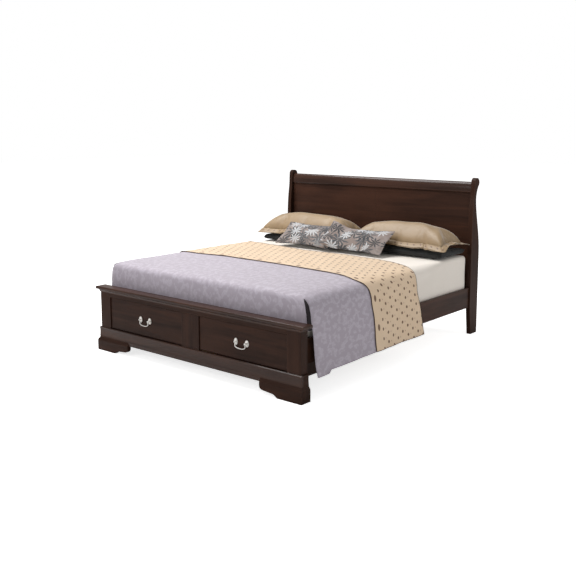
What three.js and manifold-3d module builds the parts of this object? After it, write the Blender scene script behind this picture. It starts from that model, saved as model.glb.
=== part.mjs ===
// Sleigh bed with two drawers in a low footboard, dressed with its bedding.
// Millimetres, +Z up. The foot of the bed faces -Y and the headboard stands at +Y.
// The origin is on the floor, in the middle of the bed's overall length and width.
import * as THREE from 'three';
import { mergeVertices } from 'three/addons/utils/BufferGeometryUtils.js';
import Module from 'manifold-3d';

const wasm = await Module();
wasm.setup();

// ---- Driving dimensions ---------------------------------------------------------------
const FIT = 0.3;                 // gap left between two pieces that touch
const OVERALL_LENGTH = 2396;     // front of the bracket feet to the back of the head posts
const FOOT_WIDTH = 2050;         // across the outside of the two bracket feet

const PLINTH_SETBACK = 12;       // plinth face behind the face of the feet
const POST_SETBACK = 22;         // footboard posts behind the face of the feet
const FOOTBOARD_DEPTH = 92;      // front of the feet to the back of the footboard posts
const PLINTH_BOTTOM = 80;
const PLINTH_TOP = 182;
const FOOT_TOP = 107;            // top of a bracket foot, where the plinth sits on it
const FOOT_LENGTH = 358;         // length of a bracket foot along the front
const FOOT_STOCK = 34;           // thickness of the bracket foot timber
const BOARD = 22;                // thickness of frame boards
const POST_WIDTH = 114;          // width of a footboard post
const CAP_TOP = 502;
const CAP_THICKNESS = 24;
const CAP_OVERHANG = 36;         // cap past the outer face of a post
const CAP_COVE = 18;             // height and reach of the cove under the cap
const TOP_RAIL_HEIGHT = 50;
const CENTRE_STILE_WIDTH = 174;

const DRAWER_SILL = 2;          // drawer opening above the top of the plinth
const DRAWER_GAP = 3;            // gap round a drawer front in its opening
const DRAWER_RECESS = 8;         // drawer front behind the face of the frame
const DRAWER_FRONT_THICKNESS = 20;
const DRAWER_BOX_DEPTH = 470;
const DRAWER_BOX_HEIGHT = 126;
const DRAWER_BOARD = 12;
const DRAWER_BOTTOM_THICKNESS = 6;
const SLIDE_WIDTH = 12.5;        // side-mounted drawer slide
const SLIDE_HEIGHT = 45;
const CASE_BOARD = 16;

const HANDLE_SPREAD = 100;       // between the two pivots of a bail
const HANDLE_HEIGHT = 306;       // pivots above the floor
const ROSETTE_WIDTH = 34;
const ROSETTE_HEIGHT = 48;
const ROSETTE_THICKNESS = 3;
const PIVOT_REACH = 15;          // pivot axis in front of the drawer face
const PIVOT_RADIUS = 2;
const PIVOT_CLEARANCE = 0.5;
const BAIL_RADIUS = 3.4;
const BAIL_DROP = 40;

const RAIL_SETBACK = 22;         // side rail's outer face behind the outer face of a footboard post
const RAIL_BOTTOM = 230;
const RAIL_TOP = 398;
const CLEAT_WIDTH = 22;
const CLEAT_HEIGHT = 28;
const SLAT_TOP = 368;
const SLAT_THICKNESS = 18;
const SLAT_WIDTH = 80;
const SLAT_COUNT = 14;
const WEBBING_WIDTH = 25;
const WEBBING_THICKNESS = 2;
const BEAM_WIDTH = 60;
const BEAM_HEIGHT = 50;
const LEG_SIZE = 50;

const HEAD_POST_WIDTH = 36;
const HEAD_POST_INSET = 11;      // head posts' outer face inside that of the footboard posts
const HEAD_HEIGHT = 1306;        // top of the scroll
const SCROLL_RADIUS = 38;
const SCROLL_SETBACK = 26;       // back of the scroll in front of the back of the post
const HEAD_LEG_TAPER = 26;       // the front of the leg runs back this far to the floor
const HEAD_LEG_DEPTH = 128;      // front of the post to the back of the leg at the floor
const HEAD_BULGE_DEPTH = 132;    // at the height of the mattress
const HEAD_NECK_DEPTH = 37;      // under the scroll
const HEAD_NECK_DROP = 142;      // neck below the middle of the scroll
const HEAD_NECK_SETBACK = 20;    // front of the neck behind the front of the post
const PANEL_THICKNESS = 18;
const PANEL_BOTTOM = 400;
const PANEL_SETBACK = 52;        // panel face behind the front of the head posts
const CREST_HEIGHT = 90;
const CREST_DROP = 34;           // top of the crest below the top of the scrolls
const CREST_RADIUS = 30;
const LOWER_RAIL_HEIGHT = 110;
const BATTEN_WIDTH = 70;

const MATTRESS_CLEARANCE = 4;    // between the mattress and a side rail
const MATTRESS_HEAD_GAP = 10;    // between the mattress and the front of the head posts
const MATTRESS_THICKNESS = 300;
const MATTRESS_CORNER = 45;
const COVERLET_THICKNESS = 8;
const COVERLET_TUCK = 25;        // its upper edge lies this far under the runner
const COVERLET_HEM = 148;        // lowest edge of the side drops above the floor
const COVERLET_FLARE = 96;       // how far a side drop stands out at its hem
const FOOT_FLAP_GAP = 10;        // foot flap's lower edge above the cap of the footboard
const RUNNER_WIDTH = 640;
const RUNNER_GAP = 147;          // between the runner and the toes of the cushions
const RUNNER_HEM = 176;
const RUNNER_SKEW = 70;          // the runner lies this much further up on top of the bed

const PILLOW_LENGTH = 905;
const PILLOW_DEPTH = 400;
const PILLOW_HEIGHT = 76;
const SHAM_LENGTH = 970;
const SHAM_DEPTH = 435;
const SHAM_HEIGHT = 176;
const CUSHION_LENGTH = 560;
const CUSHION_HEIGHT = 290;
const CUSHION_THICKNESS = 90;
const CUSHION_LEAN = 37;         // degrees up from the mattress
const CUSHION_MEET = 74;         // the two cushions meet this far left of the middle
const CUSHION_TOE = 168;         // foot of a cushion in front of the shams
const PILLOW_TO_POST = 14;       // between the pillows and the front of the head posts

// ---- Places worked out from the dimensions ----------------------------------------------
const FRONT = -OVERALL_LENGTH / 2;
const BACK = OVERALL_LENGTH / 2;
const FOOT_OUTER = FOOT_WIDTH / 2;
const POST_OUTER = FOOT_OUTER - POST_SETBACK - 3;
const POST_INNER = POST_OUTER - POST_WIDTH;
const POST_FRONT = FRONT + POST_SETBACK;
const FOOTBOARD_BACK = FRONT + FOOTBOARD_DEPTH;
const CAP_BOTTOM = CAP_TOP - CAP_THICKNESS;
const OPENING_BOTTOM = PLINTH_TOP + DRAWER_SILL;
const OPENING_TOP = CAP_BOTTOM - TOP_RAIL_HEIGHT;
const OPENING_INNER = CENTRE_STILE_WIDTH / 2;
const HANDLE_CENTRE = (OPENING_INNER + POST_INNER) / 2;
const RAIL_OUTER = POST_OUTER - RAIL_SETBACK;
const RAIL_INNER = RAIL_OUTER - BOARD;
const HEAD_POST_OUTER = POST_OUTER - HEAD_POST_INSET;
const HEAD_POST_INNER = HEAD_POST_OUTER - HEAD_POST_WIDTH;
const HEAD_POST_FRONT = BACK - HEAD_BULGE_DEPTH;
const SCROLL_Y = BACK - SCROLL_SETBACK - SCROLL_RADIUS;
const SCROLL_Z = HEAD_HEIGHT - SCROLL_RADIUS;
const PANEL_FRONT = HEAD_POST_FRONT + PANEL_SETBACK;
const PANEL_TOP = HEAD_HEIGHT - CREST_DROP - CREST_HEIGHT;
const SLAT_BOTTOM = SLAT_TOP - SLAT_THICKNESS;
const CASE_BACK_Y = FOOTBOARD_BACK + DRAWER_BOX_DEPTH;
const MATTRESS_BOTTOM = SLAT_TOP + FIT;
const MATTRESS_TOP = MATTRESS_BOTTOM + MATTRESS_THICKNESS;
const COVERLET_FRONT = FOOTBOARD_BACK + 12;
const MATTRESS_FRONT = COVERLET_FRONT + COVERLET_THICKNESS + FIT;
const MATTRESS_BACK = HEAD_POST_FRONT - MATTRESS_HEAD_GAP;
const MATTRESS_HALF = RAIL_INNER - MATTRESS_CLEARANCE;
const COVERLET_TOP = MATTRESS_TOP + FIT + COVERLET_THICKNESS;
const BEDDING_TOP = COVERLET_TOP + FIT;
const PILLOW_BACK = HEAD_POST_FRONT - PILLOW_TO_POST;
const SHAM_FRONT = PILLOW_BACK - SHAM_DEPTH;
const CUSHION_FRONT = SHAM_FRONT - CUSHION_TOE;
const RUNNER_START = CUSHION_FRONT - RUNNER_GAP - RUNNER_WIDTH - RUNNER_SKEW;
const COVERLET_BACK = RUNNER_START + RUNNER_WIDTH - COVERLET_TUCK;

// ---- Finishes -----------------------------------------------------------------------------
function finish(color, roughness, metalness) {
  return new THREE.MeshStandardMaterial({ color, roughness, metalness });
}
const espresso = finish(0x3a241b, 0.42, 0);
const innerWood = finish(0xb79a72, 0.7, 0);
const nickel = finish(0xb9b2a8, 0.35, 1);
const zincSteel = finish(0x9a9c9e, 0.45, 1);
const webbing = finish(0xcbb48c, 0.8, 0);
const sheetCloth = finish(0xe9e0d0, 0.9, 0);
const coverletCloth = finish(0xa79fae, 0.75, 0);
const runnerCloth = finish(0xcfb391, 0.75, 0);
const blackCloth = finish(0x1d1b1d, 0.9, 0);
const shamCloth = finish(0xb3935f, 0.7, 0);
const floralCloth = finish(0x8d8078, 0.85, 0);

// ---- Small geometry helpers ---------------------------------------------------------------
const bed = new THREE.Group();

function place(name, geometry, material) {
  const mesh = new THREE.Mesh(geometry, material);
  mesh.name = name;
  bed.add(mesh);
  return mesh;
}

/** A box given by its lowest and highest corner. */
function block(x0, x1, y0, y1, z0, z1) {
  const shape = new THREE.BoxGeometry(x1 - x0, y1 - y0, z1 - z0);
  return shape.translate((x0 + x1) / 2, (y0 + y1) / 2, (z0 + z1) / 2);
}

/** A box mirrored to the side asked for; side is -1 for left and 1 for right. */
function sidedBlock(side, inner, outer, y0, y1, z0, z1) {
  return side > 0 ? block(inner, outer, y0, y1, z0, z1) : block(-outer, -inner, y0, y1, z0, z1);
}

/** A board with its edges rounded over by radius r. */
function easedBlock(x0, x1, y0, y1, z0, z1, r) {
  const plan = new THREE.Shape([
    new THREE.Vector2(x0 + r, y0 + r), new THREE.Vector2(x1 - r, y0 + r),
    new THREE.Vector2(x1 - r, y1 - r), new THREE.Vector2(x0 + r, y1 - r),
  ]);
  const round = { depth: z1 - z0 - 2 * r, bevelSize: r, bevelThickness: r, bevelSegments: 3 };
  return new THREE.ExtrudeGeometry(plan, round).translate(0, 0, z0 + r);
}

/** An outline of [y, z] points or a Shape, carried along X from x0 to x1. */
function alongX(outline, x0, x1) {
  const shape = outline instanceof THREE.Shape
    ? outline
    : new THREE.Shape(outline.map(([y, z]) => new THREE.Vector2(y, z)));
  const solid = new THREE.ExtrudeGeometry(shape, { depth: x1 - x0, bevelEnabled: false, curveSegments: 10 });
  // the shape's own x and y become the bed's Y and Z, and its depth becomes X
  const turn = new THREE.Matrix4().set(0, 0, 1, x0, 1, 0, 0, 0, 0, 1, 0, 0, 0, 0, 0, 1);
  return solid.applyMatrix4(turn);
}

/** An outline of [x, z] points or a Shape, carried along Y from y0 to y1. */
function alongY(outline, y0, y1) {
  const shape = outline instanceof THREE.Shape
    ? outline
    : new THREE.Shape(outline.map(([x, z]) => new THREE.Vector2(x, z)));
  const solid = new THREE.ExtrudeGeometry(shape, { depth: y1 - y0, bevelEnabled: false, curveSegments: 8 });
  return solid.rotateX(Math.PI / 2).translate(0, y1, 0);
}

/** A plan of [x, y] points carried up from z0 to z1. */
function upward(plan, z0, z1) {
  const shape = new THREE.Shape(plan.map(([x, y]) => new THREE.Vector2(x, y)));
  return new THREE.ExtrudeGeometry(shape, { depth: z1 - z0, bevelEnabled: false }).translate(0, 0, z0);
}

function toSolid(geometry) {
  const bare = geometry.clone();
  bare.deleteAttribute('normal');
  bare.deleteAttribute('uv');
  const merged = mergeVertices(bare, 1e-4);
  return new wasm.Manifold(new wasm.Mesh({
    numProp: 3,
    vertProperties: new Float32Array(merged.attributes.position.array),
    triVerts: new Uint32Array(merged.index.array),
  }));
}

function toGeometry(solid) {
  const mesh = solid.getMesh();
  const geometry = new THREE.BufferGeometry();
  geometry.setAttribute('position', new THREE.BufferAttribute(mesh.vertProperties, 3));
  geometry.setIndex(new THREE.BufferAttribute(mesh.triVerts, 1));
  geometry.computeVertexNormals();
  return geometry;
}

function join(first, ...rest) {
  return toGeometry(rest.reduce((sum, next) => sum.add(toSolid(next)), toSolid(first)));
}

function cut(body, ...tools) {
  return toGeometry(tools.reduce((left, tool) => left.subtract(toSolid(tool)), toSolid(body)));
}

function common(a, b) {
  return toGeometry(toSolid(a).intersect(toSolid(b)));
}

const SIDES = [['left', -1], ['right', 1]];

/** Turns a shape made for the right-hand side into its left-hand copy when side is -1. */
function handed(geometry, side) {
  if (side > 0) return geometry;
  const flipped = geometry.clone().scale(-1, 1, 1);
  if (!flipped.index) {
    const p = flipped.attributes.position;
    for (let i = 0; i < p.count; i += 3) {
      const b = new THREE.Vector3().fromBufferAttribute(p, i + 1);
      const c = new THREE.Vector3().fromBufferAttribute(p, i + 2);
      p.setXYZ(i + 1, c.x, c.y, c.z);
      p.setXYZ(i + 2, b.x, b.y, b.z);
    }
  } else {
    const index = flipped.index.array;
    for (let i = 0; i < index.length; i += 3) {
      [index[i + 1], index[i + 2]] = [index[i + 2], index[i + 1]];
    }
  }
  flipped.computeVertexNormals();
  return flipped;
}

// ---- Bracket feet -------------------------------------------------------------------------
// Front outline: a flat sole, a small step, a long shallow rise and a quarter-round nose.
function bracketFootOutline() {
  const inner = FOOT_OUTER - FOOT_LENGTH;
  const sole = FOOT_OUTER - 0.57 * FOOT_LENGTH;
  const nose = 26;
  const outline = new THREE.Shape();
  outline.moveTo(FOOT_OUTER, 0);
  outline.lineTo(FOOT_OUTER, FOOT_TOP);
  outline.lineTo(inner, FOOT_TOP);
  outline.lineTo(inner, 30 + nose);
  outline.quadraticCurveTo(inner + 4, 30, inner + nose + 8, 29);
  outline.lineTo(sole - 42, 22);
  outline.quadraticCurveTo(sole - 24, 20, sole, 0);
  return outline;
}

// Section of the face: upright, then an ogee drawn in to the plinth at the top.
function footSection(front, back) {
  const rise = FOOT_TOP - 35;
  const section = new THREE.Shape();
  section.moveTo(back, 0);
  section.lineTo(back, FOOT_TOP);
  section.lineTo(front + PLINTH_SETBACK + 2, FOOT_TOP);
  section.bezierCurveTo(front + PLINTH_SETBACK, rise + 18, front, rise + 20, front, rise);
  section.lineTo(front, 0);
  return section;
}

function bracketFoot() {
  const inner = FOOT_OUTER - FOOT_LENGTH - 1;
  const leaf = common(
    alongY(bracketFootOutline(), FRONT, FRONT + FOOT_STOCK),
    alongX(footSection(FRONT, FRONT + FOOT_STOCK), inner, FOOT_OUTER),
  );
  // the side return has the same section, turned to face sideways
  const turned = footSection(-FOOT_OUTER, -FOOT_OUTER + FOOT_STOCK);
  const reach = new THREE.Shape(turned.getPoints(8).map((p) => new THREE.Vector2(-p.x, p.y)));
  const side = alongY(reach, FRONT, FOOTBOARD_BACK);
  const corner = alongX(footSection(FRONT, FOOTBOARD_BACK), inner, FOOT_OUTER);
  const trimmedSide = common(side, corner);
  const cornerFace = alongY(reachOutline(), FRONT, FRONT + FOOT_STOCK);
  return join(common(leaf, cornerFace), trimmedSide);
}

// Everything inboard of the ogee on the outer side, so the front leaf turns the corner neatly.
function reachOutline() {
  const section = footSection(-FOOT_OUTER, -FOOT_OUTER + FOOT_LENGTH + 1).getPoints(8);
  return new THREE.Shape(section.map((p) => new THREE.Vector2(-p.x, p.y)));
}

// ---- Plinth ---------------------------------------------------------------------------------
// A moulded board: a small ledge on top, a slightly hollow face and a plain lower edge.
function plinthSection(front, back) {
  const ledge = 4;
  const section = new THREE.Shape();
  section.moveTo(back, PLINTH_BOTTOM);
  section.lineTo(back, PLINTH_TOP);
  section.lineTo(front + 7, PLINTH_TOP);
  section.lineTo(front, PLINTH_TOP - 5);
  section.quadraticCurveTo(front + ledge, PLINTH_TOP - 14, front + ledge, PLINTH_TOP - 30);
  section.quadraticCurveTo(front + ledge, FOOT_TOP + 14, front, FOOT_TOP - 2);
  section.lineTo(front, PLINTH_BOTTOM);
  return section;
}

function addPlinth() {
  const front = FRONT + PLINTH_SETBACK;
  const back = front + BOARD;
  const half = FOOT_OUTER - PLINTH_SETBACK;
  const overFoot = FOOT_OUTER - FOOT_LENGTH - FIT;
  const clearTop = FOOT_TOP + FIT;
  const past = FOOTBOARD_BACK + 10;
  const relief = (side) => sidedBlock(side, overFoot, FOOT_OUTER + 10, FRONT - 10, past, 0, clearTop);
  const frontBoard = alongX(plinthSection(front, back), -half, half);
  place('plinth_front', cut(frontBoard, relief(-1), relief(1)), espresso);
  const points = plinthSection(-half, -half + BOARD).getPoints(8);
  const returnOutline = new THREE.Shape(points.map((p) => new THREE.Vector2(-p.x, p.y)));
  const sideBoard = alongY(returnOutline, back + FIT, FOOTBOARD_BACK);
  for (const [name, side] of SIDES) {
    place(`bracket_foot_${name}`, handed(bracketFoot(), side), espresso);
    place(`plinth_return_${name}`, handed(cut(sideBoard, relief(1)), side), espresso);
  }
}

// ---- Footboard frame and cap ----------------------------------------------------------------
function addFootboard() {
  const lowerFront = FRONT + PLINTH_SETBACK + BOARD + FIT;
  const lowerOuter = FOOT_OUTER - PLINTH_SETBACK - BOARD - FIT;
  const ledge = PLINTH_TOP + FIT;
  const frameTop = CAP_BOTTOM - FIT;
  const back = FOOTBOARD_BACK;
  for (const [name, side] of SIDES) {
    // full width above the plinth, and a narrower foot standing inside it
    const upper = sidedBlock(side, POST_INNER, POST_OUTER, POST_FRONT, back, ledge, frameTop);
    const lower = sidedBlock(side, POST_INNER, lowerOuter, lowerFront, back, FOOT_TOP + FIT, ledge + 1);
    place(`foot_post_${name}`, join(upper, lower), espresso);
  }
  const between = POST_INNER - FIT;
  const railBack = POST_FRONT + BOARD;
  place('foot_top_rail', block(-between, between, POST_FRONT, railBack, OPENING_TOP, frameTop), espresso);
  place('foot_centre_stile',
    block(-OPENING_INNER, OPENING_INNER, POST_FRONT, railBack, ledge, OPENING_TOP - FIT), espresso);
  place('foot_back_rail',
    block(-between, between, back - BOARD, back, SLAT_BOTTOM - 10, frameTop), espresso);

  const capFront = FRONT + 2;
  const capBack = FOOTBOARD_BACK + 6;
  const capHalf = POST_OUTER + CAP_OVERHANG;
  const board = easedBlock(-capHalf, capHalf, capFront, capBack, CAP_BOTTOM, CAP_TOP, 8);
  const cove = (reachIn) => {
    // quarter hollow running down and in from the cap to the face of the frame
    const outline = new THREE.Shape();
    outline.moveTo(reachIn, CAP_BOTTOM + 1);
    outline.lineTo(reachIn - CAP_COVE, CAP_BOTTOM + 1);
    outline.quadraticCurveTo(reachIn - 5, CAP_BOTTOM - 3, reachIn - 4, CAP_BOTTOM - CAP_COVE);
    outline.lineTo(reachIn, CAP_BOTTOM - CAP_COVE);
    return outline;
  };
  const frontCove = alongX(cove(POST_FRONT - FIT), -(POST_OUTER + 4), POST_OUTER + 4);
  const sideCove = (side) => {
    const points = cove(-(POST_OUTER + FIT)).getPoints(8).map((p) => new THREE.Vector2(-p.x, p.y));
    return handed(alongY(new THREE.Shape(points), POST_FRONT - 4, FOOTBOARD_BACK), side);
  };
  place('foot_cap', join(board, frontCove, sideCove(1), sideCove(-1)), espresso);
}

// ---- Drawer case behind the footboard ---------------------------------------------------------
const BOX_BOTTOM = OPENING_BOTTOM + 12;
const BOX_TOP = BOX_BOTTOM + DRAWER_BOX_HEIGHT;
const BOX_FRONT = POST_FRONT + DRAWER_RECESS + DRAWER_FRONT_THICKNESS + FIT;
const BOX_BACK = BOX_FRONT + DRAWER_BOX_DEPTH - 40;
const DIVIDER_HALF = OPENING_INNER + 10;
const CASE_INNER = POST_INNER - 10;
const BOX_X0 = DIVIDER_HALF + SLIDE_WIDTH + 2 * FIT;
const BOX_X1 = CASE_INNER - SLIDE_WIDTH - 2 * FIT;
const CASE_FRONT = BOX_FRONT + 6;
const CASE_FLOOR_TOP = FOOT_TOP + CASE_BOARD;

function addCase() {
  const top = SLAT_BOTTOM - 12;
  const half = CASE_INNER + CASE_BOARD;
  const front = FOOTBOARD_BACK + FIT;
  const sideBottom = CASE_FLOOR_TOP + FIT;
  const caseBack = CASE_BACK_Y - CASE_BOARD;
  for (const [name, side] of SIDES) {
    place(`case_side_${name}`,
      sidedBlock(side, CASE_INNER, half, front, caseBack - FIT, sideBottom, top), innerWood);
  }
  // a hollow box section, open at its front end, that carries the inner drawer slides
  const divider = cut(
    block(-DIVIDER_HALF, DIVIDER_HALF, CASE_FRONT, caseBack - FIT, sideBottom, top),
    block(-DIVIDER_HALF + CASE_BOARD, DIVIDER_HALF - CASE_BOARD, CASE_FRONT - 5,
      caseBack - CASE_BOARD, sideBottom + CASE_BOARD, top - CASE_BOARD),
  );
  place('case_divider', divider, innerWood);
  place('case_bottom', block(-half, half, front, CASE_BACK_Y, FOOT_TOP, CASE_FLOOR_TOP), innerWood);
  place('case_back', block(-half, half, caseBack, CASE_BACK_Y, sideBottom, top), innerWood);
}

// ---- Drawers ----------------------------------------------------------------------------------
const FRONT_FACE = POST_FRONT + DRAWER_RECESS;
const SLIDE_BOTTOM = BOX_BOTTOM + 36;

function addDrawer(name, side) {
  const x0 = OPENING_INNER + DRAWER_GAP;
  const x1 = POST_INNER - DRAWER_GAP;
  const z0 = OPENING_BOTTOM + DRAWER_GAP;
  const z1 = OPENING_TOP - DRAWER_GAP;
  const faceBack = FRONT_FACE + DRAWER_FRONT_THICKNESS;
  const face = easedBlock(x0, x1, FRONT_FACE, faceBack, z0, z1, 2.5);
  place(`drawer_front_${name}`, handed(face, side), espresso);
  const sides = [['inner', BOX_X0], ['outer', BOX_X1 - DRAWER_BOARD]];
  for (const [which, x] of sides) {
    place(`drawer_side_${name}_${which}`,
      sidedBlock(side, x, x + DRAWER_BOARD, BOX_FRONT, BOX_BACK, BOX_BOTTOM, BOX_TOP), innerWood);
  }
  const innerX0 = BOX_X0 + DRAWER_BOARD + FIT;
  const innerX1 = BOX_X1 - DRAWER_BOARD - FIT;
  const bottomZ = BOX_BOTTOM + 8;
  const floorZ = bottomZ + DRAWER_BOTTOM_THICKNESS;
  place(`drawer_back_${name}`,
    sidedBlock(side, innerX0, innerX1, BOX_BACK - DRAWER_BOARD, BOX_BACK,
      floorZ + FIT, BOX_TOP), innerWood);
  place(`drawer_bottom_${name}`,
    sidedBlock(side, innerX0, innerX1, BOX_FRONT, BOX_BACK, bottomZ, floorZ), innerWood);
  // slide channels screwed to the divider and to the case side, just clear of the drawer box
  const slideLength = DRAWER_BOX_DEPTH - 60;
  const slideFront = FOOTBOARD_BACK + FIT;
  const slideBack = slideFront + slideLength;
  const slideTop = SLIDE_BOTTOM + SLIDE_HEIGHT;
  const slides = [['inner', DIVIDER_HALF + FIT], ['outer', CASE_INNER - SLIDE_WIDTH - FIT]];
  for (const [which, x] of slides) {
    place(`drawer_slide_${name}_${which}`,
      sidedBlock(side, x, x + SLIDE_WIDTH, slideFront, slideBack, SLIDE_BOTTOM, slideTop), zincSteel);
  }
}

// ---- Bail handles -------------------------------------------------------------------------------
const PIVOT_Y = FRONT_FACE - FIT - PIVOT_REACH;
const BALL_RADIUS = 6.5;

// An oval plate with a stem and a ball that is bored across for the end of the bail.
function rosette() {
  const oval = new THREE.Shape();
  oval.absellipse(0, 0, ROSETTE_WIDTH / 2 - 1.5, ROSETTE_HEIGHT / 2 - 1.5, 0, 2 * Math.PI);
  const ease = 1.5;
  const edge = { depth: ROSETTE_THICKNESS - ease, bevelSize: ease, bevelThickness: ease, bevelSegments: 2 };
  const plate = cut(
    new THREE.ExtrudeGeometry(oval, { ...edge, curveSegments: 12 }),
    block(-ROSETTE_WIDTH, ROSETTE_WIDTH, -ROSETTE_HEIGHT, ROSETTE_HEIGHT, -10, 0),
  );
  const stem = new THREE.CylinderGeometry(3.5, 5.5, PIVOT_REACH - 1, 16).rotateX(Math.PI / 2);
  stem.translate(0, 0, (PIVOT_REACH - 1) / 2 + 1);
  const ball = new THREE.SphereGeometry(BALL_RADIUS, 16, 12).translate(0, 0, PIVOT_REACH);
  const boreRadius = PIVOT_RADIUS + PIVOT_CLEARANCE;
  const bore = new THREE.CylinderGeometry(boreRadius, boreRadius, 40, 16);
  bore.rotateZ(Math.PI / 2).translate(0, 0, PIVOT_REACH);
  return cut(join(plate, stem, ball), bore).rotateX(Math.PI / 2);
}

/** Swan-neck bail: pins at both ends, necks that swell outwards, and a rounded grip below. */
function bail() {
  const half = HANDLE_SPREAD / 2;
  const neck = half - BALL_RADIUS - BAIL_RADIUS - 0.6;
  const side = [
    [neck, 0], [neck + 1, -8], [neck + 7, -17], [neck + 6, -26],
    [neck - 5, -35], [neck - 20, -BAIL_DROP + 1],
  ];
  const route = [...side.map(([x, z]) => [-x, z]), [0, -BAIL_DROP], ...side.reverse()];
  const path = new THREE.CatmullRomCurve3(route.map(([x, z]) => new THREE.Vector3(x, 0, z)));
  const section = new THREE.Shape();
  section.absarc(0, 0, BAIL_RADIUS, 0, 2 * Math.PI);
  const grip = new THREE.ExtrudeGeometry(section, { steps: 36, extrudePath: path, curveSegments: 5 });
  const eye = (x) => new THREE.SphereGeometry(BAIL_RADIUS + 0.3, 12, 10).translate(x, 0, 0);
  const pin = (sign) => {
    const length = BALL_RADIUS + BAIL_RADIUS + 5;
    const rod = new THREE.CylinderGeometry(PIVOT_RADIUS, PIVOT_RADIUS, length, 12).rotateZ(Math.PI / 2);
    return rod.translate(sign * (neck + length / 2), 0, 0);
  };
  return join(grip, eye(-neck), eye(neck), pin(-1), pin(1));
}

function addHandle(name, side) {
  const centre = side * HANDLE_CENTRE;
  for (const [which, end] of SIDES) {
    const plate = rosette();
    plate.translate(centre + end * HANDLE_SPREAD / 2, FRONT_FACE - FIT, HANDLE_HEIGHT);
    place(`handle_rosette_${name}_${which}`, plate, nickel);
  }
  place(`handle_bail_${name}`, bail().translate(centre, PIVOT_Y, HANDLE_HEIGHT), nickel);
}

// ---- Headboard ------------------------------------------------------------------------------------
// Side outline of a head post: a leg that tapers to the floor, straight front, back that swells at
// the mattress, a slim neck and a scroll rolled over to the back.
function headPostOutline() {
  const f = HEAD_POST_FRONT;
  const neckZ = SCROLL_Z - HEAD_NECK_DROP;
  const neckFront = f + HEAD_NECK_SETBACK;
  const outline = new THREE.Shape();
  outline.moveTo(f + HEAD_LEG_TAPER, 0);
  outline.lineTo(f, RAIL_BOTTOM - 5);
  outline.lineTo(f, 0.62 * HEAD_HEIGHT);
  outline.bezierCurveTo(f, neckZ - 130, neckFront - 10, neckZ - 60, neckFront, neckZ);
  outline.bezierCurveTo(neckFront + 14, neckZ + 90, SCROLL_Y - SCROLL_RADIUS - 8, SCROLL_Z + 20,
    SCROLL_Y - 0.71 * SCROLL_RADIUS, SCROLL_Z + 0.71 * SCROLL_RADIUS);
  outline.absarc(SCROLL_Y, SCROLL_Z, SCROLL_RADIUS, 0.75 * Math.PI, -0.3 * Math.PI, true);
  outline.bezierCurveTo(SCROLL_Y + 5, SCROLL_Z - 58, neckFront + HEAD_NECK_DEPTH, neckZ + 50,
    neckFront + HEAD_NECK_DEPTH, neckZ);
  outline.bezierCurveTo(neckFront + HEAD_NECK_DEPTH + 4, neckZ - 130, f + HEAD_BULGE_DEPTH, 860,
    f + HEAD_BULGE_DEPTH, MATTRESS_TOP);
  outline.bezierCurveTo(f + HEAD_BULGE_DEPTH, 400, f + HEAD_LEG_DEPTH + 4, 200, f + HEAD_LEG_DEPTH, 0);
  return outline;
}

// Section of the crest: a flat-fronted rail that rolls over to the back at the top.
function crestSection() {
  const front = PANEL_FRONT - 12;
  const bottom = PANEL_TOP + FIT;
  const top = bottom + CREST_HEIGHT;
  const rollY = front + CREST_RADIUS + 4;
  const rollZ = top - CREST_RADIUS;
  const section = new THREE.Shape();
  section.moveTo(front + 8, bottom);
  section.quadraticCurveTo(front, bottom + 2, front, bottom + 12);
  section.bezierCurveTo(front - 2, bottom + 34, front + 2, top - 12, rollY - 12, top - 1);
  section.absarc(rollY, rollZ, CREST_RADIUS, 0.5 * Math.PI, -0.4 * Math.PI, true);
  section.quadraticCurveTo(rollY + 2, bottom + 4, rollY - 4, bottom);
  return section;
}

function addHeadboard() {
  const postOutline = headPostOutline();
  for (const [name, side] of SIDES) {
    const post = alongX(postOutline, HEAD_POST_INNER, HEAD_POST_OUTER);
    place(`head_post_${name}`, handed(post, side), espresso);
  }
  const half = HEAD_POST_INNER - FIT;
  const panelBack = PANEL_FRONT + PANEL_THICKNESS;
  for (const [name, side] of SIDES) {
    place(`head_panel_${name}`,
      sidedBlock(side, FIT / 2, half, PANEL_FRONT, panelBack, PANEL_BOTTOM, PANEL_TOP), espresso);
  }
  place('head_crest_rail', alongX(crestSection(), -half, half), espresso);
  const railTop = PANEL_BOTTOM - FIT;
  place('head_lower_rail',
    block(-half, half, PANEL_FRONT - 4, panelBack + 4, railTop - LOWER_RAIL_HEIGHT, railTop), espresso);
  place('head_back_batten',
    block(-BATTEN_WIDTH / 2, BATTEN_WIDTH / 2, panelBack + FIT, panelBack + FIT + 12,
      PANEL_BOTTOM + 20, PANEL_TOP - 20), espresso);
}

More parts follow.
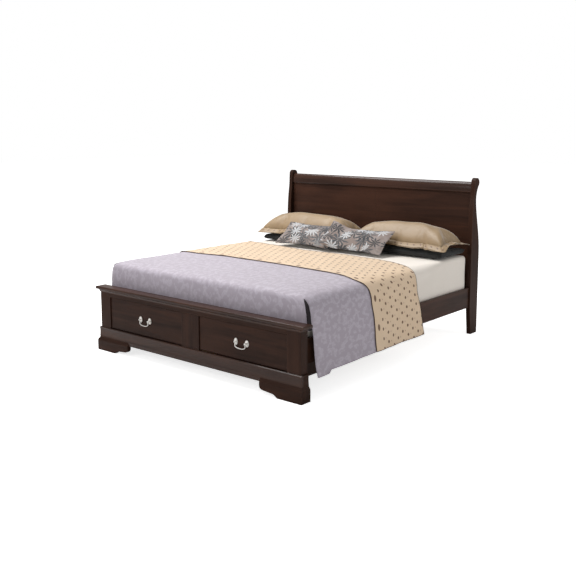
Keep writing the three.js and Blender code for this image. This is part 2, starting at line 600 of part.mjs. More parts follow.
// ---- Side rails, slats and centre support -----------------------------------------------------------
function addBase() {
  const railFront = FOOTBOARD_BACK + FIT;
  const railBack = HEAD_POST_FRONT - FIT;
  const cleatTop = SLAT_BOTTOM - FIT;
  for (const [name, side] of SIDES) {
    place(`side_rail_${name}`,
      sidedBlock(side, RAIL_INNER, RAIL_OUTER, railFront, railBack, RAIL_BOTTOM, RAIL_TOP), espresso);
    place(`rail_cleat_${name}`,
      sidedBlock(side, RAIL_INNER - FIT - CLEAT_WIDTH, RAIL_INNER - FIT, railFront + 8, railBack - 20,
        cleatTop - CLEAT_HEIGHT, cleatTop), innerWood);
  }
  const slatStart = MATTRESS_FRONT + 10;
  const slatEnd = MATTRESS_BACK - 10;
  const pitch = (slatEnd - slatStart - SLAT_WIDTH) / (SLAT_COUNT - 1);
  const slatHalf = RAIL_INNER - 5;
  const slats = [];
  for (let i = 0; i < SLAT_COUNT; i += 1) {
    const y = slatStart + i * pitch;
    slats.push(block(-slatHalf, slatHalf, y, y + SLAT_WIDTH, SLAT_BOTTOM, SLAT_TOP));
  }
  // webbing stapled across the slats keeps their spacing and makes one roll of them
  for (const x of [-0.62 * slatHalf, 0.62 * slatHalf]) {
    const z = SLAT_TOP - WEBBING_THICKNESS;
    slats.push(block(x, x + WEBBING_WIDTH, slatStart + 5, slatEnd - 5, z, SLAT_TOP - 0.001));
  }
  place('slat_roll', join(...slats), webbing);
  const beamTop = SLAT_BOTTOM - FIT;
  const beamFront = CASE_BACK_Y + FIT;
  const beamBack = PANEL_FRONT - 4 - FIT;
  const beam = block(-BEAM_WIDTH / 2, BEAM_WIDTH / 2, beamFront, beamBack, beamTop - BEAM_HEIGHT, beamTop);
  place('centre_beam', beam, innerWood);
  const legTop = beamTop - BEAM_HEIGHT - FIT;
  const run = beamBack - beamFront;
  const legs = [['front', beamFront + 0.3 * run], ['rear', beamFront + 0.75 * run]];
  for (const [name, y] of legs) {
    const r = LEG_SIZE / 2;
    place(`centre_leg_${name}`, block(-r, r, y - r, y + r, 0, legTop), innerWood);
  }
}

// ---- Bedding, as plain closed solids ------------------------------------------------------------------
/** A drape's cross-section: flat over the bed, down both sides, standing out at the hems. */
function drapeSection(inner, thickness, top, hem, flare) {
  const fall = top - thickness - hem;
  const out = inner + flare;
  const slope = thickness * Math.hypot(1, flare / fall);
  return [
    [-out - slope, hem], [-inner - slope, top], [inner + slope, top], [out + slope, hem],
    [out, hem], [inner, top - thickness], [-inner, top - thickness], [-out, hem],
  ].reverse();
}

function addBedding() {
  const mattress = easedBlock(-MATTRESS_HALF, MATTRESS_HALF, MATTRESS_FRONT, MATTRESS_BACK,
    MATTRESS_BOTTOM, MATTRESS_TOP, MATTRESS_CORNER);
  place('mattress', mattress, sheetCloth);

  const inner = MATTRESS_HALF + FIT;
  const drape = drapeSection(inner, COVERLET_THICKNESS, COVERLET_TOP, COVERLET_HEM, COVERLET_FLARE);
  const flapHalf = MATTRESS_HALF - 8;
  const flap = block(-flapHalf, flapHalf, COVERLET_FRONT, COVERLET_FRONT + COVERLET_THICKNESS,
    CAP_TOP + FOOT_FLAP_GAP, COVERLET_TOP);
  place('coverlet', join(alongY(drape, COVERLET_FRONT, COVERLET_BACK), flap), coverletCloth);

  // the runner lies over the coverlet, a little further up the bed on top than at the sides
  const flare = COVERLET_FLARE * (COVERLET_TOP - RUNNER_HEM) / (COVERLET_TOP - COVERLET_HEM);
  const over = inner + COVERLET_THICKNESS * 1.05 + 2 * FIT;
  const band = drapeSection(over, 5, BEDDING_TOP + 5, RUNNER_HEM, flare);
  const start = RUNNER_START;
  const wide = alongY(band, start, start + RUNNER_WIDTH + RUNNER_SKEW);
  const bend = 160;
  const half = [[over + flare + 20, 0], [over + 0.5, 0], [over + 0.5 - bend, RUNNER_SKEW]];
  const nearEdge = [
    ...half.map(([x, dy]) => [-x, start + dy]),
    ...half.toReversed().map(([x, dy]) => [x, start + dy]),
  ];
  const farEdge = nearEdge.map(([x, y]) => [x, y + RUNNER_WIDTH]).reverse();
  const plan = upward([...nearEdge, ...farEdge], 0, HEAD_HEIGHT);
  place('bed_runner', common(wide, plan), runnerCloth);

  const rest = MATTRESS_TOP + FIT;
  for (const [name, side] of SIDES) {
    const cushionX = side < 0 ? -CUSHION_MEET - CUSHION_LENGTH : -CUSHION_MEET + 4;
    // pillow and sham are pushed back where a cushion leans on them
    const behindCushions = (side < 0 ? -cushionX : cushionX + CUSHION_LENGTH) + 8;
    const pillowFront = PILLOW_BACK - PILLOW_DEPTH;
    const pillowX0 = 40;
    const pillowX1 = pillowX0 + PILLOW_LENGTH;
    const pillowPlan = upward([
      [pillowX0, pillowFront + 50], [behindCushions, pillowFront + 50], [behindCushions + 30, pillowFront],
      [pillowX1, pillowFront], [pillowX1, PILLOW_BACK], [pillowX0, PILLOW_BACK],
    ], rest, rest + PILLOW_HEIGHT);
    place(`black_pillow_${name}`, handed(pillowPlan, side), blackCloth);

    const shamBottom = rest + PILLOW_HEIGHT + FIT;
    const shamX0 = 15;
    const crown = shamBottom + SHAM_HEIGHT;
    const shamProfile = alongX([
      [SHAM_FRONT, shamBottom], [PILLOW_BACK, shamBottom], [PILLOW_BACK, crown - 75],
      [PILLOW_BACK - 60, crown - 20], [PILLOW_BACK - 170, crown], [PILLOW_BACK - 290, crown - 45],
      [SHAM_FRONT, shamBottom + 24],
    ], shamX0, shamX0 + SHAM_LENGTH);
    const shamPlan = upward([
      [0, SHAM_FRONT + 135], [behindCushions, SHAM_FRONT + 135], [behindCushions + 30, SHAM_FRONT - 1],
      [1200, SHAM_FRONT - 1], [1200, PILLOW_BACK + 1], [0, PILLOW_BACK + 1],
    ], 0, HEAD_HEIGHT);
    place(`sham_${name}`, handed(common(shamProfile, shamPlan), side), shamCloth);

    const lean = THREE.MathUtils.degToRad(CUSHION_LEAN);
    const up = [Math.cos(lean) * CUSHION_HEIGHT, Math.sin(lean) * CUSHION_HEIGHT];
    const thick = [Math.sin(lean) * CUSHION_THICKNESS, -Math.cos(lean) * CUSHION_THICKNESS];
    const toe = [CUSHION_FRONT, rest];
    const heel = [toe[0] + CUSHION_THICKNESS / Math.sin(lean), rest];
    place(`floral_cushion_${name}`, alongX([
      toe, heel, [toe[0] + up[0] + thick[0], rest + up[1] + thick[1]], [toe[0] + up[0], rest + up[1]],
    ], cushionX, cushionX + CUSHION_LENGTH), floralCloth);
  }
}

addPlinth();
addFootboard();
addCase();
for (const [name, side] of SIDES) {
  addDrawer(name, side);
  addHandle(name, side);
}
addHeadboard();
addBase();
addBedding();

export default bed;
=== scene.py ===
import math

import bmesh
import bpy
import numpy as np
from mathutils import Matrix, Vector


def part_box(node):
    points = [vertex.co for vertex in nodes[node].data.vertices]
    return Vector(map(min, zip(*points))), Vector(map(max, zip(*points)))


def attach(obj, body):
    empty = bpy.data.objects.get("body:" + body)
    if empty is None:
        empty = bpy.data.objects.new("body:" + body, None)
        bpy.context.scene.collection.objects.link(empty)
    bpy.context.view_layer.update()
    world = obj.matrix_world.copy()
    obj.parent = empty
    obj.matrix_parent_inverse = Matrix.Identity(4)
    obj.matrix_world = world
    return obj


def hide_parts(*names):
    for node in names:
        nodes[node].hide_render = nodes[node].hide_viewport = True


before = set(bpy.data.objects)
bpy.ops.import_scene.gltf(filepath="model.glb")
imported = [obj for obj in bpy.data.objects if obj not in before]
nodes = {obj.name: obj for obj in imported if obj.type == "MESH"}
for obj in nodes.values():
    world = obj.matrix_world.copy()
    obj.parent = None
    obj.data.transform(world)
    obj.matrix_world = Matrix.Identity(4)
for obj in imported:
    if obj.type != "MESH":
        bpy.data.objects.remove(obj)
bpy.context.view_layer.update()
scene = bpy.context.scene

# ---- Bracket feet and plinth ------------------------------------------------------------------
# Ogee bracket feet of solid poplar under a moulded plinth board, stained espresso and lacquered.
# They are glued and blocked together, and every arris is rubbed round by hand sanding.


def fed(node, inputs):
    """Gives each named input of a node its value, or a link where the value is a socket."""
    for name, value in inputs.items():
        if hasattr(value, "is_linked"):
            node.id_data.links.new(value, node.inputs[name])
        else:
            node.inputs[name].default_value = value
    return node


def added(tree, kind, inputs, **options):
    """Adds a shader node to a tree, with its options set and its inputs fed."""
    node = tree.nodes.new("ShaderNode" + kind)
    for name, value in options.items():
        setattr(node, name, value)
    return fed(node, inputs)


def maths(operation, *values):
    """A Math node's output: each value is a number or an output socket."""
    tree = next(value.id_data for value in values if hasattr(value, "is_linked"))
    return added(tree, "Math", dict(enumerate(values)), operation=operation).outputs[0]


def times(first, second):
    """The product of two values."""
    return maths("MULTIPLY", first, second)


def plus(first, second):
    """The sum of two values."""
    return maths("ADD", first, second)


def mapped(source, scale=(1, 1, 1), turn=(0, 0, 0), shift=(0, 0, 0)):
    """A coordinate that is scaled, turned and shifted."""
    inputs = {"Vector": source, "Scale": scale, "Rotation": turn, "Location": shift}
    return added(source.id_data, "Mapping", inputs).outputs[0]


def noise(vector, scale, detail=3.0, roughness=0.5, distortion=0.0):
    """Fractal noise between 0 and 1 at a coordinate."""
    inputs = {"Vector": vector, "Scale": scale, "Detail": detail, "Roughness": roughness,
              "Distortion": distortion}
    return added(vector.id_data, "TexNoise", inputs).outputs["Fac"]


def ramp(fac, *stops):
    """A colour ramp: stops are (place, (r, g, b)) in rising order."""
    node = added(fac.id_data, "ValToRGB", {"Fac": fac})
    points = node.color_ramp.elements
    while len(points) < len(stops):
        points.new(0.5)
    for point, (place, colour) in zip(points, stops):
        point.position = place
        point.color = (*colour, 1)
    return node.outputs["Color"]


def blended(fac, first, second):
    """Two colours (sockets or triples) mixed by a factor."""
    first, second = (tone if hasattr(tone, "is_linked") else (*tone, 1) for tone in (first, second))
    return added(fac.id_data, "Mix", {0: fac, 6: first, 7: second}, data_type="RGBA").outputs[2]


def ranged(value, low, high, to_low=0.0, to_high=1.0):
    """A value carried smoothly from one range to another and clamped there."""
    ends = {"From Min": low, "From Max": high, "To Min": to_low, "To Max": to_high}
    return added(value.id_data, "MapRange", {"Value": value, **ends},
                 interpolation_type="SMOOTHSTEP").outputs["Result"]


def bumped(shader, height, distance, strength):
    """A bump from a height field; distance is the height in metres of a full step."""
    bump = added(shader.id_data, "Bump", {"Height": height, "Distance": distance, "Strength": strength})
    fed(shader, {"Normal": bump.outputs["Normal"]})


def new_material(name):
    """An empty material: returns it with its Principled shader."""
    material = bpy.data.materials.new(name)
    material.use_nodes = True
    return material, material.node_tree.nodes["Principled BSDF"]


def object_place(shader):
    """The place on the object, in metres."""
    return added(shader.id_data, "TexCoord", {}).outputs["Object"]


ESPRESSO_DARK = (0.0170, 0.0082, 0.0058)
ESPRESSO_MID = (0.0315, 0.0148, 0.0100)
ESPRESSO_RED = (0.0520, 0.0222, 0.0135)
# A lighter brown laid along the edges: a rub, and a painted highlight on them.
ESPRESSO_RUB_AND_HIGHLIGHT = (0.105, 0.062, 0.045)
RUB_AND_HIGHLIGHT_REACH = 0.005
TURNS = {"X": (0, 0, 0), "Y": (0, 0, math.pi / 2), "Z": (0, math.pi / 2, 0)}


def espresso_wood(axis, name, gloss, lift=1.0):
    """Stained wood: long streaks of noise drawn out along the grain axis, fine pores across it, a
    warmer cast in places, and a lighter rub and painted highlight where the surface turns an edge.
    Gloss is the weight of the lacquer, and lift multiplies the colours of the stain."""
    material, shader = new_material(name)
    tree = shader.id_data
    along = mapped(object_place(shader), turn=TURNS[axis])
    streak = noise(mapped(along, scale=(1.1, 17, 17)), 1.0, 6, 0.62, 0.5)
    cloud = noise(mapped(along, scale=(1.6, 4.0, 4.0)), 1.0, 3, 0.5)
    pores = noise(mapped(along, scale=(38, 900, 900)), 1.0, 2, 0.7)
    dark, mid, red = (tuple(lift * c for c in tone) for tone in (ESPRESSO_DARK, ESPRESSO_MID, ESPRESSO_RED))
    body = ramp(streak, (0.30, dark), (0.52, mid), (0.74, red))
    warm = blended(ranged(cloud, 0.42, 0.72, 0.0, 0.55), body, red)
    grained = blended(ranged(pores, 0.50, 0.72, 0.0, 0.5), warm, dark)
    soft = added(tree, "Bevel", {"Radius": RUB_AND_HIGHLIGHT_REACH}, samples=4)
    true = added(tree, "NewGeometry", {})
    facing = added(tree, "VectorMath", {0: soft.outputs["Normal"], 1: true.outputs["Normal"]},
                   operation="DOT_PRODUCT")
    # Lighter where the bevel normal turns from the true one: a painted edge highlight, with a rub.
    edge = ranged(facing.outputs["Value"], 0.995, 0.86, 0.0, 0.55)
    fed(shader, {"Base Color": blended(times(edge, cloud), grained, ESPRESSO_RUB_AND_HIGHLIGHT),
                 "Roughness": ranged(streak, 0.2, 0.8, 0.40, 0.29),
                 "Coat Weight": gloss, "Coat Roughness": 0.14, "Specular IOR Level": 0.05})
    bumped(shader, plus(times(pores, 0.4), times(streak, 0.6)), 0.00025, 0.5)
    return material


wood_along = {axis: espresso_wood(axis, f"espresso_wood_grain_{axis.lower()}", 0.05) for axis in "XYZ"}
wood_along["moulding"] = espresso_wood("X", "espresso_wood_moulding", 0.36, 1.2)
wood_along["rail"] = espresso_wood("Y", "espresso_wood_rail", 0.12, 1.3)
wood_along["veneer"] = espresso_wood("X", "espresso_wood_veneer", 0.06, 1.35)


def smooth_shading_group():
    """A node group that does no more than shade its mesh smooth."""
    group = bpy.data.node_groups.new("smooth_shading", "GeometryNodeTree")
    group.interface.new_socket("Geometry", in_out="INPUT", socket_type="NodeSocketGeometry")
    group.interface.new_socket("Geometry", in_out="OUTPUT", socket_type="NodeSocketGeometry")
    source = group.nodes.new("NodeGroupInput")
    target = group.nodes.new("NodeGroupOutput")
    smooth = group.nodes.new("GeometryNodeSetShadeSmooth")
    group.links.new(source.outputs[0], smooth.inputs["Geometry"])
    group.links.new(smooth.outputs[0], target.inputs[0])
    return group


def modified(piece, name, kind, **settings):
    """Adds a modifier with its settings to a piece."""
    step = piece.modifiers.new(name, kind)
    for setting, value in settings.items():
        setattr(step, setting, value)
    return step


smooth_group = smooth_shading_group()


def finished(node, material, width, angle=32):
    """Gives a CAD piece its material and rounds its arrises: triangles welded and merged flat, then
    a small bevel on every edge sharper than the angle, and smooth shading under that angle."""
    piece = nodes[node]
    piece.data.materials.clear()
    piece.data.materials.append(material)
    modified(piece, "weld", "WELD", merge_threshold=2e-5)
    modified(piece, "flat", "DECIMATE", decimate_type="DISSOLVE", angle_limit=math.radians(0.6))
    modified(piece, "round_over", "BEVEL", width=width, segments=3, limit_method="ANGLE",
             angle_limit=math.radians(angle), use_clamp_overlap=True)
    modified(piece, "shade", "NODES", node_group=smooth_group)
    modified(piece, "crisp", "WEIGHTED_NORMAL", keep_sharp=False)


def finish_wood(node, axis, width=0.002, angle=32):
    """Gives a CAD piece its stained wood, with the grain along an axis, and eases its edges."""
    finished(node, wood_along[axis], width, angle)


for side in ("left", "right"):
    finish_wood(f"bracket_foot_{side}", "X", 0.0022)
    finish_wood(f"plinth_return_{side}", "Y", 0.0012)
finish_wood("plinth_front", "moulding", 0.0015, 24)

# ---- Footboard frame and cap --------------------------------------------------------------------
# Broad posts, a centre stile and a top rail of stained timber, dowelled together, with a
# moulded cap glued on top that has a rounded nose and a cove beneath.
for side in ("left", "right"):
    finish_wood(f"foot_post_{side}", "Z", 0.0025)
finish_wood("foot_centre_stile", "Z", 0.0018)
finish_wood("foot_top_rail", "X", 0.0018)
finish_wood("foot_back_rail", "X")
finish_wood("foot_cap", "moulding", 0.0012, 40)

# ---- Drawer case, drawers and slides --------------------------------------------------------------
# Plain poplar and plywood case and boxes, left unfinished, and zinc-plated side slides.
# The drawer fronts are stained like the frame and screwed on from inside the box.
POPLAR_PALE = (0.56, 0.40, 0.235)
POPLAR_DEEP = (0.40, 0.255, 0.135)
ZINC_GREY, ZINC_PALE = (0.42, 0.43, 0.45), (0.62, 0.63, 0.65)


def poplar(axis, name):
    """Bare planed poplar: wide soft streaks along the grain and a fuzzy, matt surface."""
    material, shader = new_material(name)
    along = mapped(object_place(shader), turn=TURNS[axis])
    streak = noise(mapped(along, scale=(0.9, 22, 22)), 1.0, 5, 0.6, 0.4)
    fuzz = noise(mapped(along, scale=(60, 700, 700)), 1.0, 2, 0.6)
    tone = ramp(streak, (0.3, POPLAR_DEEP), (0.62, POPLAR_PALE))
    fed(shader, {"Base Color": blended(ranged(fuzz, 0.4, 0.7, 0.0, 0.25), tone, POPLAR_DEEP),
                 "Roughness": ranged(fuzz, 0.2, 0.8, 0.78, 0.62)})
    bumped(shader, fuzz, 0.0003, 0.6)
    return material


bare_along = {axis: poplar(axis, f"poplar_grain_{axis.lower()}") for axis in "XYZ"}


def finish_bare(node, axis, stained=False):
    """Gives a CAD piece its bare poplar, or a stain where it shows, and eases its edges."""
    finished(node, (wood_along if stained else bare_along)[axis], 0.0012)


def zinc_steel():
    """Zinc-plated strip: pale spangle and faint drawing marks along the slide."""
    material, shader = new_material("zinc_steel")
    place = object_place(shader)
    drawn = noise(mapped(place, scale=(900, 6, 900)), 1.0, 2, 0.5)
    fed(shader, {"Base Color": ramp(noise(place, 160, 2), (0.3, ZINC_GREY), (0.7, ZINC_PALE)),
                 "Roughness": ranged(drawn, 0.3, 0.7, 0.30, 0.45), "Metallic": 1.0})
    bumped(shader, drawn, 0.0001, 0.4)
    return material


zinc = zinc_steel()
for node in ("case_bottom", "case_back"):
    finish_bare(node, "X", stained=True)
for node in ("case_side_left", "case_side_right"):
    finish_bare(node, "Y", stained=True)
finish_bare("case_divider", "Y")
for side in ("left", "right"):
    finish_wood(f"drawer_front_{side}", "X", 0.0012, 40)
    finish_bare(f"drawer_back_{side}", "X")
    finish_bare(f"drawer_bottom_{side}", "X")
    for which in ("inner", "outer"):
        finish_bare(f"drawer_side_{side}_{which}", "Y")
        finished(f"drawer_slide_{side}_{which}", zinc, 0.001)

# ---- Bail handles ---------------------------------------------------------------------------------
# Swan-neck bails and oval rosettes, cast in zinc, plated in nickel and rubbed bright over a dark
# patina. Each rosette is held by a screw through the drawer front, and the bail turns in its balls.
NICKEL_BRIGHT = (0.80, 0.775, 0.735)
NICKEL_DARK = (0.30, 0.275, 0.245)
BEAD_RADIUS = 0.0011
BEAD_COUNT = 44
BEAD_SET_BACK = 0.0032
ROSETTE_EDGE_INSET = 0.0026


def antique_nickel():
    """Rubbed nickel plate: bright over most of the surface, with a dark patina in small patches."""
    material, shader = new_material("antique_nickel")
    patina = noise(object_place(shader), 260, 4, 0.6)
    fed(shader, {"Base Color": blended(ranged(patina, 0.50, 0.72, 0.0, 0.75), NICKEL_BRIGHT, NICKEL_DARK),
                 "Roughness": ranged(patina, 0.3, 0.7, 0.30, 0.48), "Metallic": 1.0})
    bumped(shader, patina, 0.00025, 0.5)
    return material


nickel = antique_nickel()


def box_of(name):
    """The low and the high corner of a CAD piece's box, in metres."""
    return np.array(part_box(name))


def new_piece(name, mesh, material, body="bed_frame"):
    """Puts a mesh in the scene as a piece that rides on a body and takes a material."""
    piece = bpy.data.objects.new(name, mesh)
    mesh.materials.append(material)
    scene.collection.objects.link(piece)
    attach(piece, body)
    return piece


def bead_ring(name, centre, half_across, half_up, body):
    """A ring of small beads on an oval in the x-z plane: an icosahedron at each even step round it,
    whose twelve corners are the golden rectangles' in the three planes."""
    turn = np.linspace(0, 2 * np.pi, BEAD_COUNT, endpoint=False)
    golden = (1 + 5 ** 0.5) / 2
    upright = np.array([(-1, golden, 0), (1, golden, 0), (-1, -golden, 0), (1, -golden, 0)])
    corner = np.vstack([upright, np.roll(upright, 1, 1), np.roll(upright, 2, 1)])
    face = np.array([(0, 11, 5), (0, 5, 1), (0, 1, 7), (0, 7, 10), (0, 10, 11), (1, 5, 9), (5, 11, 4),
                     (11, 10, 2), (10, 7, 6), (7, 1, 8), (3, 9, 4), (3, 4, 2), (3, 2, 6), (3, 6, 8),
                     (3, 8, 9), (4, 9, 5), (2, 4, 11), (6, 2, 10), (8, 6, 7), (9, 8, 1)])
    corner = corner / np.linalg.norm(corner[0]) * BEAD_RADIUS
    middle = centre + np.stack([half_across * np.cos(turn), 0 * turn, half_up * np.sin(turn)], 1)
    points = (middle[:, None] + corner[None]).reshape(-1, 3)
    faces = (np.arange(BEAD_COUNT)[:, None, None] * len(corner) + face[None]).reshape(-1, 3)
    mesh = bpy.data.meshes.new(name)
    mesh.from_pydata(points.tolist(), [], faces.tolist())
    mesh.shade_smooth()
    new_piece(name, mesh, nickel, body)


for side in ("left", "right"):
    finished(f"handle_bail_{side}", nickel, 0.0004, 40)
    for which in ("left", "right"):
        finished(f"handle_rosette_{side}_{which}", nickel, 0.0004, 40)
        low, high = box_of(f"handle_rosette_{side}_{which}")
        half = (high - low) / 2 - ROSETTE_EDGE_INSET
        centre = np.array(((low[0] + high[0]) / 2, high[1] - BEAD_SET_BACK, (low[2] + high[2]) / 2))
        bead_ring(f"handle_beading_{side}_{which}", centre, half[0], half[2], f"{side}_drawer")

# ---- Headboard --------------------------------------------------------------------------------
# Two sawn and shaped posts that end in a scroll, with veneered panels, a rolled crest rail and a
# lower rail tongued between them. A batten closes the seam of the panels at the back.
for side in ("left", "right"):
    finish_wood(f"head_post_{side}", "Z", 0.004, 40)
    finish_wood(f"head_panel_{side}", "veneer", 0.0012)
finish_wood("head_crest_rail", "moulding", 0.0012, 50)
finish_wood("head_lower_rail", "X")
finish_wood("head_back_batten", "Z")

# ---- Side rails, cleats, slats and centre support -------------------------------------------------
# The rails hook into the posts. Poplar slats stapled to cotton webbing lie on the cleats and on a
# centre beam that stands on two legs.
for side in ("left", "right"):
    finish_wood(f"side_rail_{side}", "rail", 0.0025)
    finish_bare(f"rail_cleat_{side}", "Y")
finish_bare("slat_roll", "X")
finish_bare("centre_beam", "Y")
for which in ("front", "rear"):
    finish_bare(f"centre_leg_{which}", "Z")

# ---- Mattress in its fitted sheet ------------------------------------------------------------------
# An innerspring mattress, quilted and taped at its edges, lying on the slats. A white cotton sheet
# is stretched over it, and its elastic hem is tucked under all round.
MATTRESS_LOW, MATTRESS_HIGH = box_of("mattress")
MATTRESS_CORNER = 0.035
MATTRESS_EDGE = 0.075
MATTRESS_HEAD_EDGE = 0.024
MATTRESS_BOTTOM_EDGE = 0.035
CORNER_PRESS = 0.016
SHEET_THICKNESS = 0.0012
SHEET_TUCK = 0.09
SHEET_CLEAR = 0.0018
COVERLET_HEAD = 0.207
COTTON_WHITE, COTTON_SHADE = (0.76, 0.705, 0.640), (0.710, 0.652, 0.585)
TICKING, TICKING_SHADE = (0.70, 0.69, 0.66), (0.58, 0.575, 0.56)


def seeded_waves(across, along, wave, seed, count=9):
    """A smooth uneven field, about -1 to 1: the sum of sine waves of about one wavelength over two
    coordinates, each with its own seeded direction, length and phase."""
    rng = np.random.default_rng(seed)
    total = np.zeros(np.broadcast(across, along).shape)
    for turn, phase, stretch in rng.uniform((0, 0, 0.7), (2 * np.pi, 2 * np.pi, 1.5), (count, 3)):
        reach = across * np.cos(turn) + along * np.sin(turn)
        total = total + np.sin(2 * np.pi * stretch / wave * reach + phase)
    return total / (1.2 * count ** 0.5)


def eased(value):
    """Smoothstep: 0 below 0, 1 above 1, and an S-curve between."""
    value = np.clip(value, 0, 1)
    return value * value * (3 - 2 * value)


def squares_of(index):
    """The four corners of each square of a grid of point numbers."""
    return np.stack([index[:-1, :-1], index[:-1, 1:], index[1:, 1:], index[1:, :-1]], -1)


def cloth_mesh(name, points, faces, **maps):
    """A smooth mesh. Each map gives every point two coordinates in metres: "cloth" is its place in
    the uncut cloth."""
    mesh = bpy.data.meshes.new(name)
    mesh.from_pydata(points.tolist(), [], faces.tolist())
    for label, flat in maps.items():
        corners = flat[faces.ravel()].astype(np.float32)
        mesh.uv_layers.new(name=label).uv.foreach_set("vector", corners.ravel())
    mesh.shade_smooth()
    return mesh


def grid_mesh(name, place, flat, keep=None, ring=False):
    """A cloth mesh on a grid of points, rows x columns x 3, with each point's place in the uncut
    cloth. keep picks squares, and ring joins the last column to the first."""
    index = np.arange(place[..., 0].size).reshape(place.shape[:2])
    squares = squares_of(np.column_stack([index, index[:, :1]]) if ring else index)
    squares = squares.reshape(-1, 4) if keep is None else squares[keep]
    used, packed = np.unique(squares, return_inverse=True)
    return cloth_mesh(name, place.reshape(-1, 3)[used], packed.reshape(-1, 4),
                      cloth=flat.reshape(-1, 2)[used])


def thickened(piece, thickness, offset=-1.0):
    """Gives a cloth its thickness, inwards from its outer face."""
    modified(piece, "thickness", "SOLIDIFY", thickness=thickness, offset=offset, use_even_offset=False)


def rounded_ring(half, radius, straight=52, corner=10):
    """A rectangle with quarter-circle corners, as points in order round its edge."""
    turn = np.linspace(0, np.pi / 2, corner)
    arcs = []
    for k, sign in enumerate(((1, 1), (-1, 1), (-1, -1), (1, -1))):
        angle = turn + k * np.pi / 2
        arcs.append(sign * (half - radius) + radius * np.stack([np.cos(angle), np.sin(angle)], 1))
    share = np.linspace(0, 1, straight + 2)[1:-1, None]
    sides = [arcs[k][-1] + (arcs[(k + 1) % 4][0] - arcs[k][-1]) * share for k in range(4)]
    return np.concatenate([part for pair in zip(arcs, sides) for part in pair])


low, high = MATTRESS_LOW[2] + 0.0005, MATTRESS_HIGH[2] - 0.0022
centre_inset = (MATTRESS_HIGH - MATTRESS_LOW)[0] / 2 - 0.0006


def mattress_rings(base, edge, draw_in):
    """Rings of a box with rounded edges, from under its base to the middle of its top: the base's
    own, a quarter circle at the bottom edge, the wall, and a quarter circle of the edge radius above.
    A ring lies inwards by its inset and the draw-in, at its height."""
    turn = np.linspace(0, np.pi / 2, 7)
    inwards, upwards = 1 - np.sin(turn), 1 - np.cos(turn)
    foot = [(MATTRESS_BOTTOM_EDGE * i, low + MATTRESS_BOTTOM_EDGE * h) for i, h in zip(inwards, upwards)]
    wall = [(0.0, h) for h in np.linspace(low + MATTRESS_BOTTOM_EDGE, high - edge, 20)[1:-1]]
    crown = [(edge * i, high - edge * h) for i, h in zip(inwards[::-1], upwards[::-1])]
    top = [(i, high) for i in np.linspace(edge, centre_inset, 60)[1:]]
    centre = (MATTRESS_LOW + MATTRESS_HIGH) / 2
    half = (MATTRESS_HIGH - MATTRESS_LOW)[:2] / 2
    rings = []
    for inset, height in base + foot + wall + crown + top:
        inset = inset + draw_in
        ring = rounded_ring(half - inset, max(MATTRESS_CORNER - inset, 0.0005)) + centre[:2]
        rings.append(np.column_stack([ring, np.full(len(ring), height)]))
    return np.array(rings)


def padded_shell(base, draw_in=0.0):
    """The mattress's rings, with a soft top edge at the foot that grows crisper towards the head,
    and foot corners that are pressed down a little."""
    soft = mattress_rings(base, MATTRESS_EDGE, draw_in)
    crisp = mattress_rings(base, MATTRESS_HEAD_EDGE, draw_in)
    share = eased((soft[..., 1:2] - 0.30) / 0.45)
    shell = soft * (1 - share) + crisp * share
    at_corner = eased((np.abs(shell[..., 0]) - 0.80) / 0.10) * eased((-0.97 - shell[..., 1]) / 0.08)
    shell[..., 2] -= CORNER_PRESS * at_corner * eased((shell[..., 2] - low - 0.12) / 0.15)
    return shell


def merged(mesh, distance=0.0012):
    """Merges doubled points, so that the poles and the seam of a shell are closed."""
    shell = bmesh.new()
    shell.from_mesh(mesh)
    bmesh.ops.remove_doubles(shell, verts=shell.verts, dist=distance)
    bmesh.ops.recalc_face_normals(shell, faces=shell.faces)
    shell.to_mesh(mesh)
    shell.free()
    mesh.shade_smooth()


core_rings = padded_shell([(i, low) for i in np.linspace(centre_inset - 0.003, 0.12, 8)], 0.0025)
core_mesh = grid_mesh("mattress_core", core_rings, core_rings[..., :2], ring=True)
merged(core_mesh)


def cloth_coordinates(shader, name="cloth"):
    """A cloth's own coordinates in metres, from one of its maps."""
    return added(shader.id_data, "UVMap", {}, uv_map=name).outputs["UV"]


def split_xy(vector):
    """The first two parts of a coordinate."""
    parts = added(vector.id_data, "SeparateXYZ", {0: vector}).outputs
    return parts["X"], parts["Y"]


def weave(vector, pitch=0.0011):
    """A plain weave's height: two crossed sets of threads, each raised in turn."""
    warp, weft = (maths("SINE", times(part, 2 * math.pi / pitch)) for part in split_xy(vector))
    return times(warp, weft)


def plain_cotton(name, colour, shade, rough=0.85, sheen=0.25, local=False):
    """Woven cotton: faint uneven threads and creases over one dyed colour."""
    material, shader = new_material(name)
    place = object_place(shader) if local else cloth_coordinates(shader)
    slub = noise(mapped(place, scale=(9, 260, 1)), 1.0, 3, 0.6)
    tone = blended(ranged(noise(place, 3.2, 3, 0.55), 0.35, 0.7, 0.0, 0.6), colour, shade)
    fed(shader, {"Base Color": blended(ranged(slub, 0.45, 0.75, 0.0, 0.35), tone, shade),
                 "Roughness": ranged(slub, 0.2, 0.8, rough - 0.06, rough + 0.06),
                 "Sheen Weight": sheen, "Sheen Roughness": 0.45, "Specular IOR Level": 0.25})
    bumped(shader, plus(times(weave(place), 0.35), slub), 0.0003, 0.6)
    return material


ticking = plain_cotton("mattress_ticking", TICKING, TICKING_SHADE, local=True)
sheet_cotton = plain_cotton("sheet_cotton", COTTON_WHITE, COTTON_SHADE)
mattress_core = new_piece("mattress_core", core_mesh, ticking)
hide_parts("mattress")

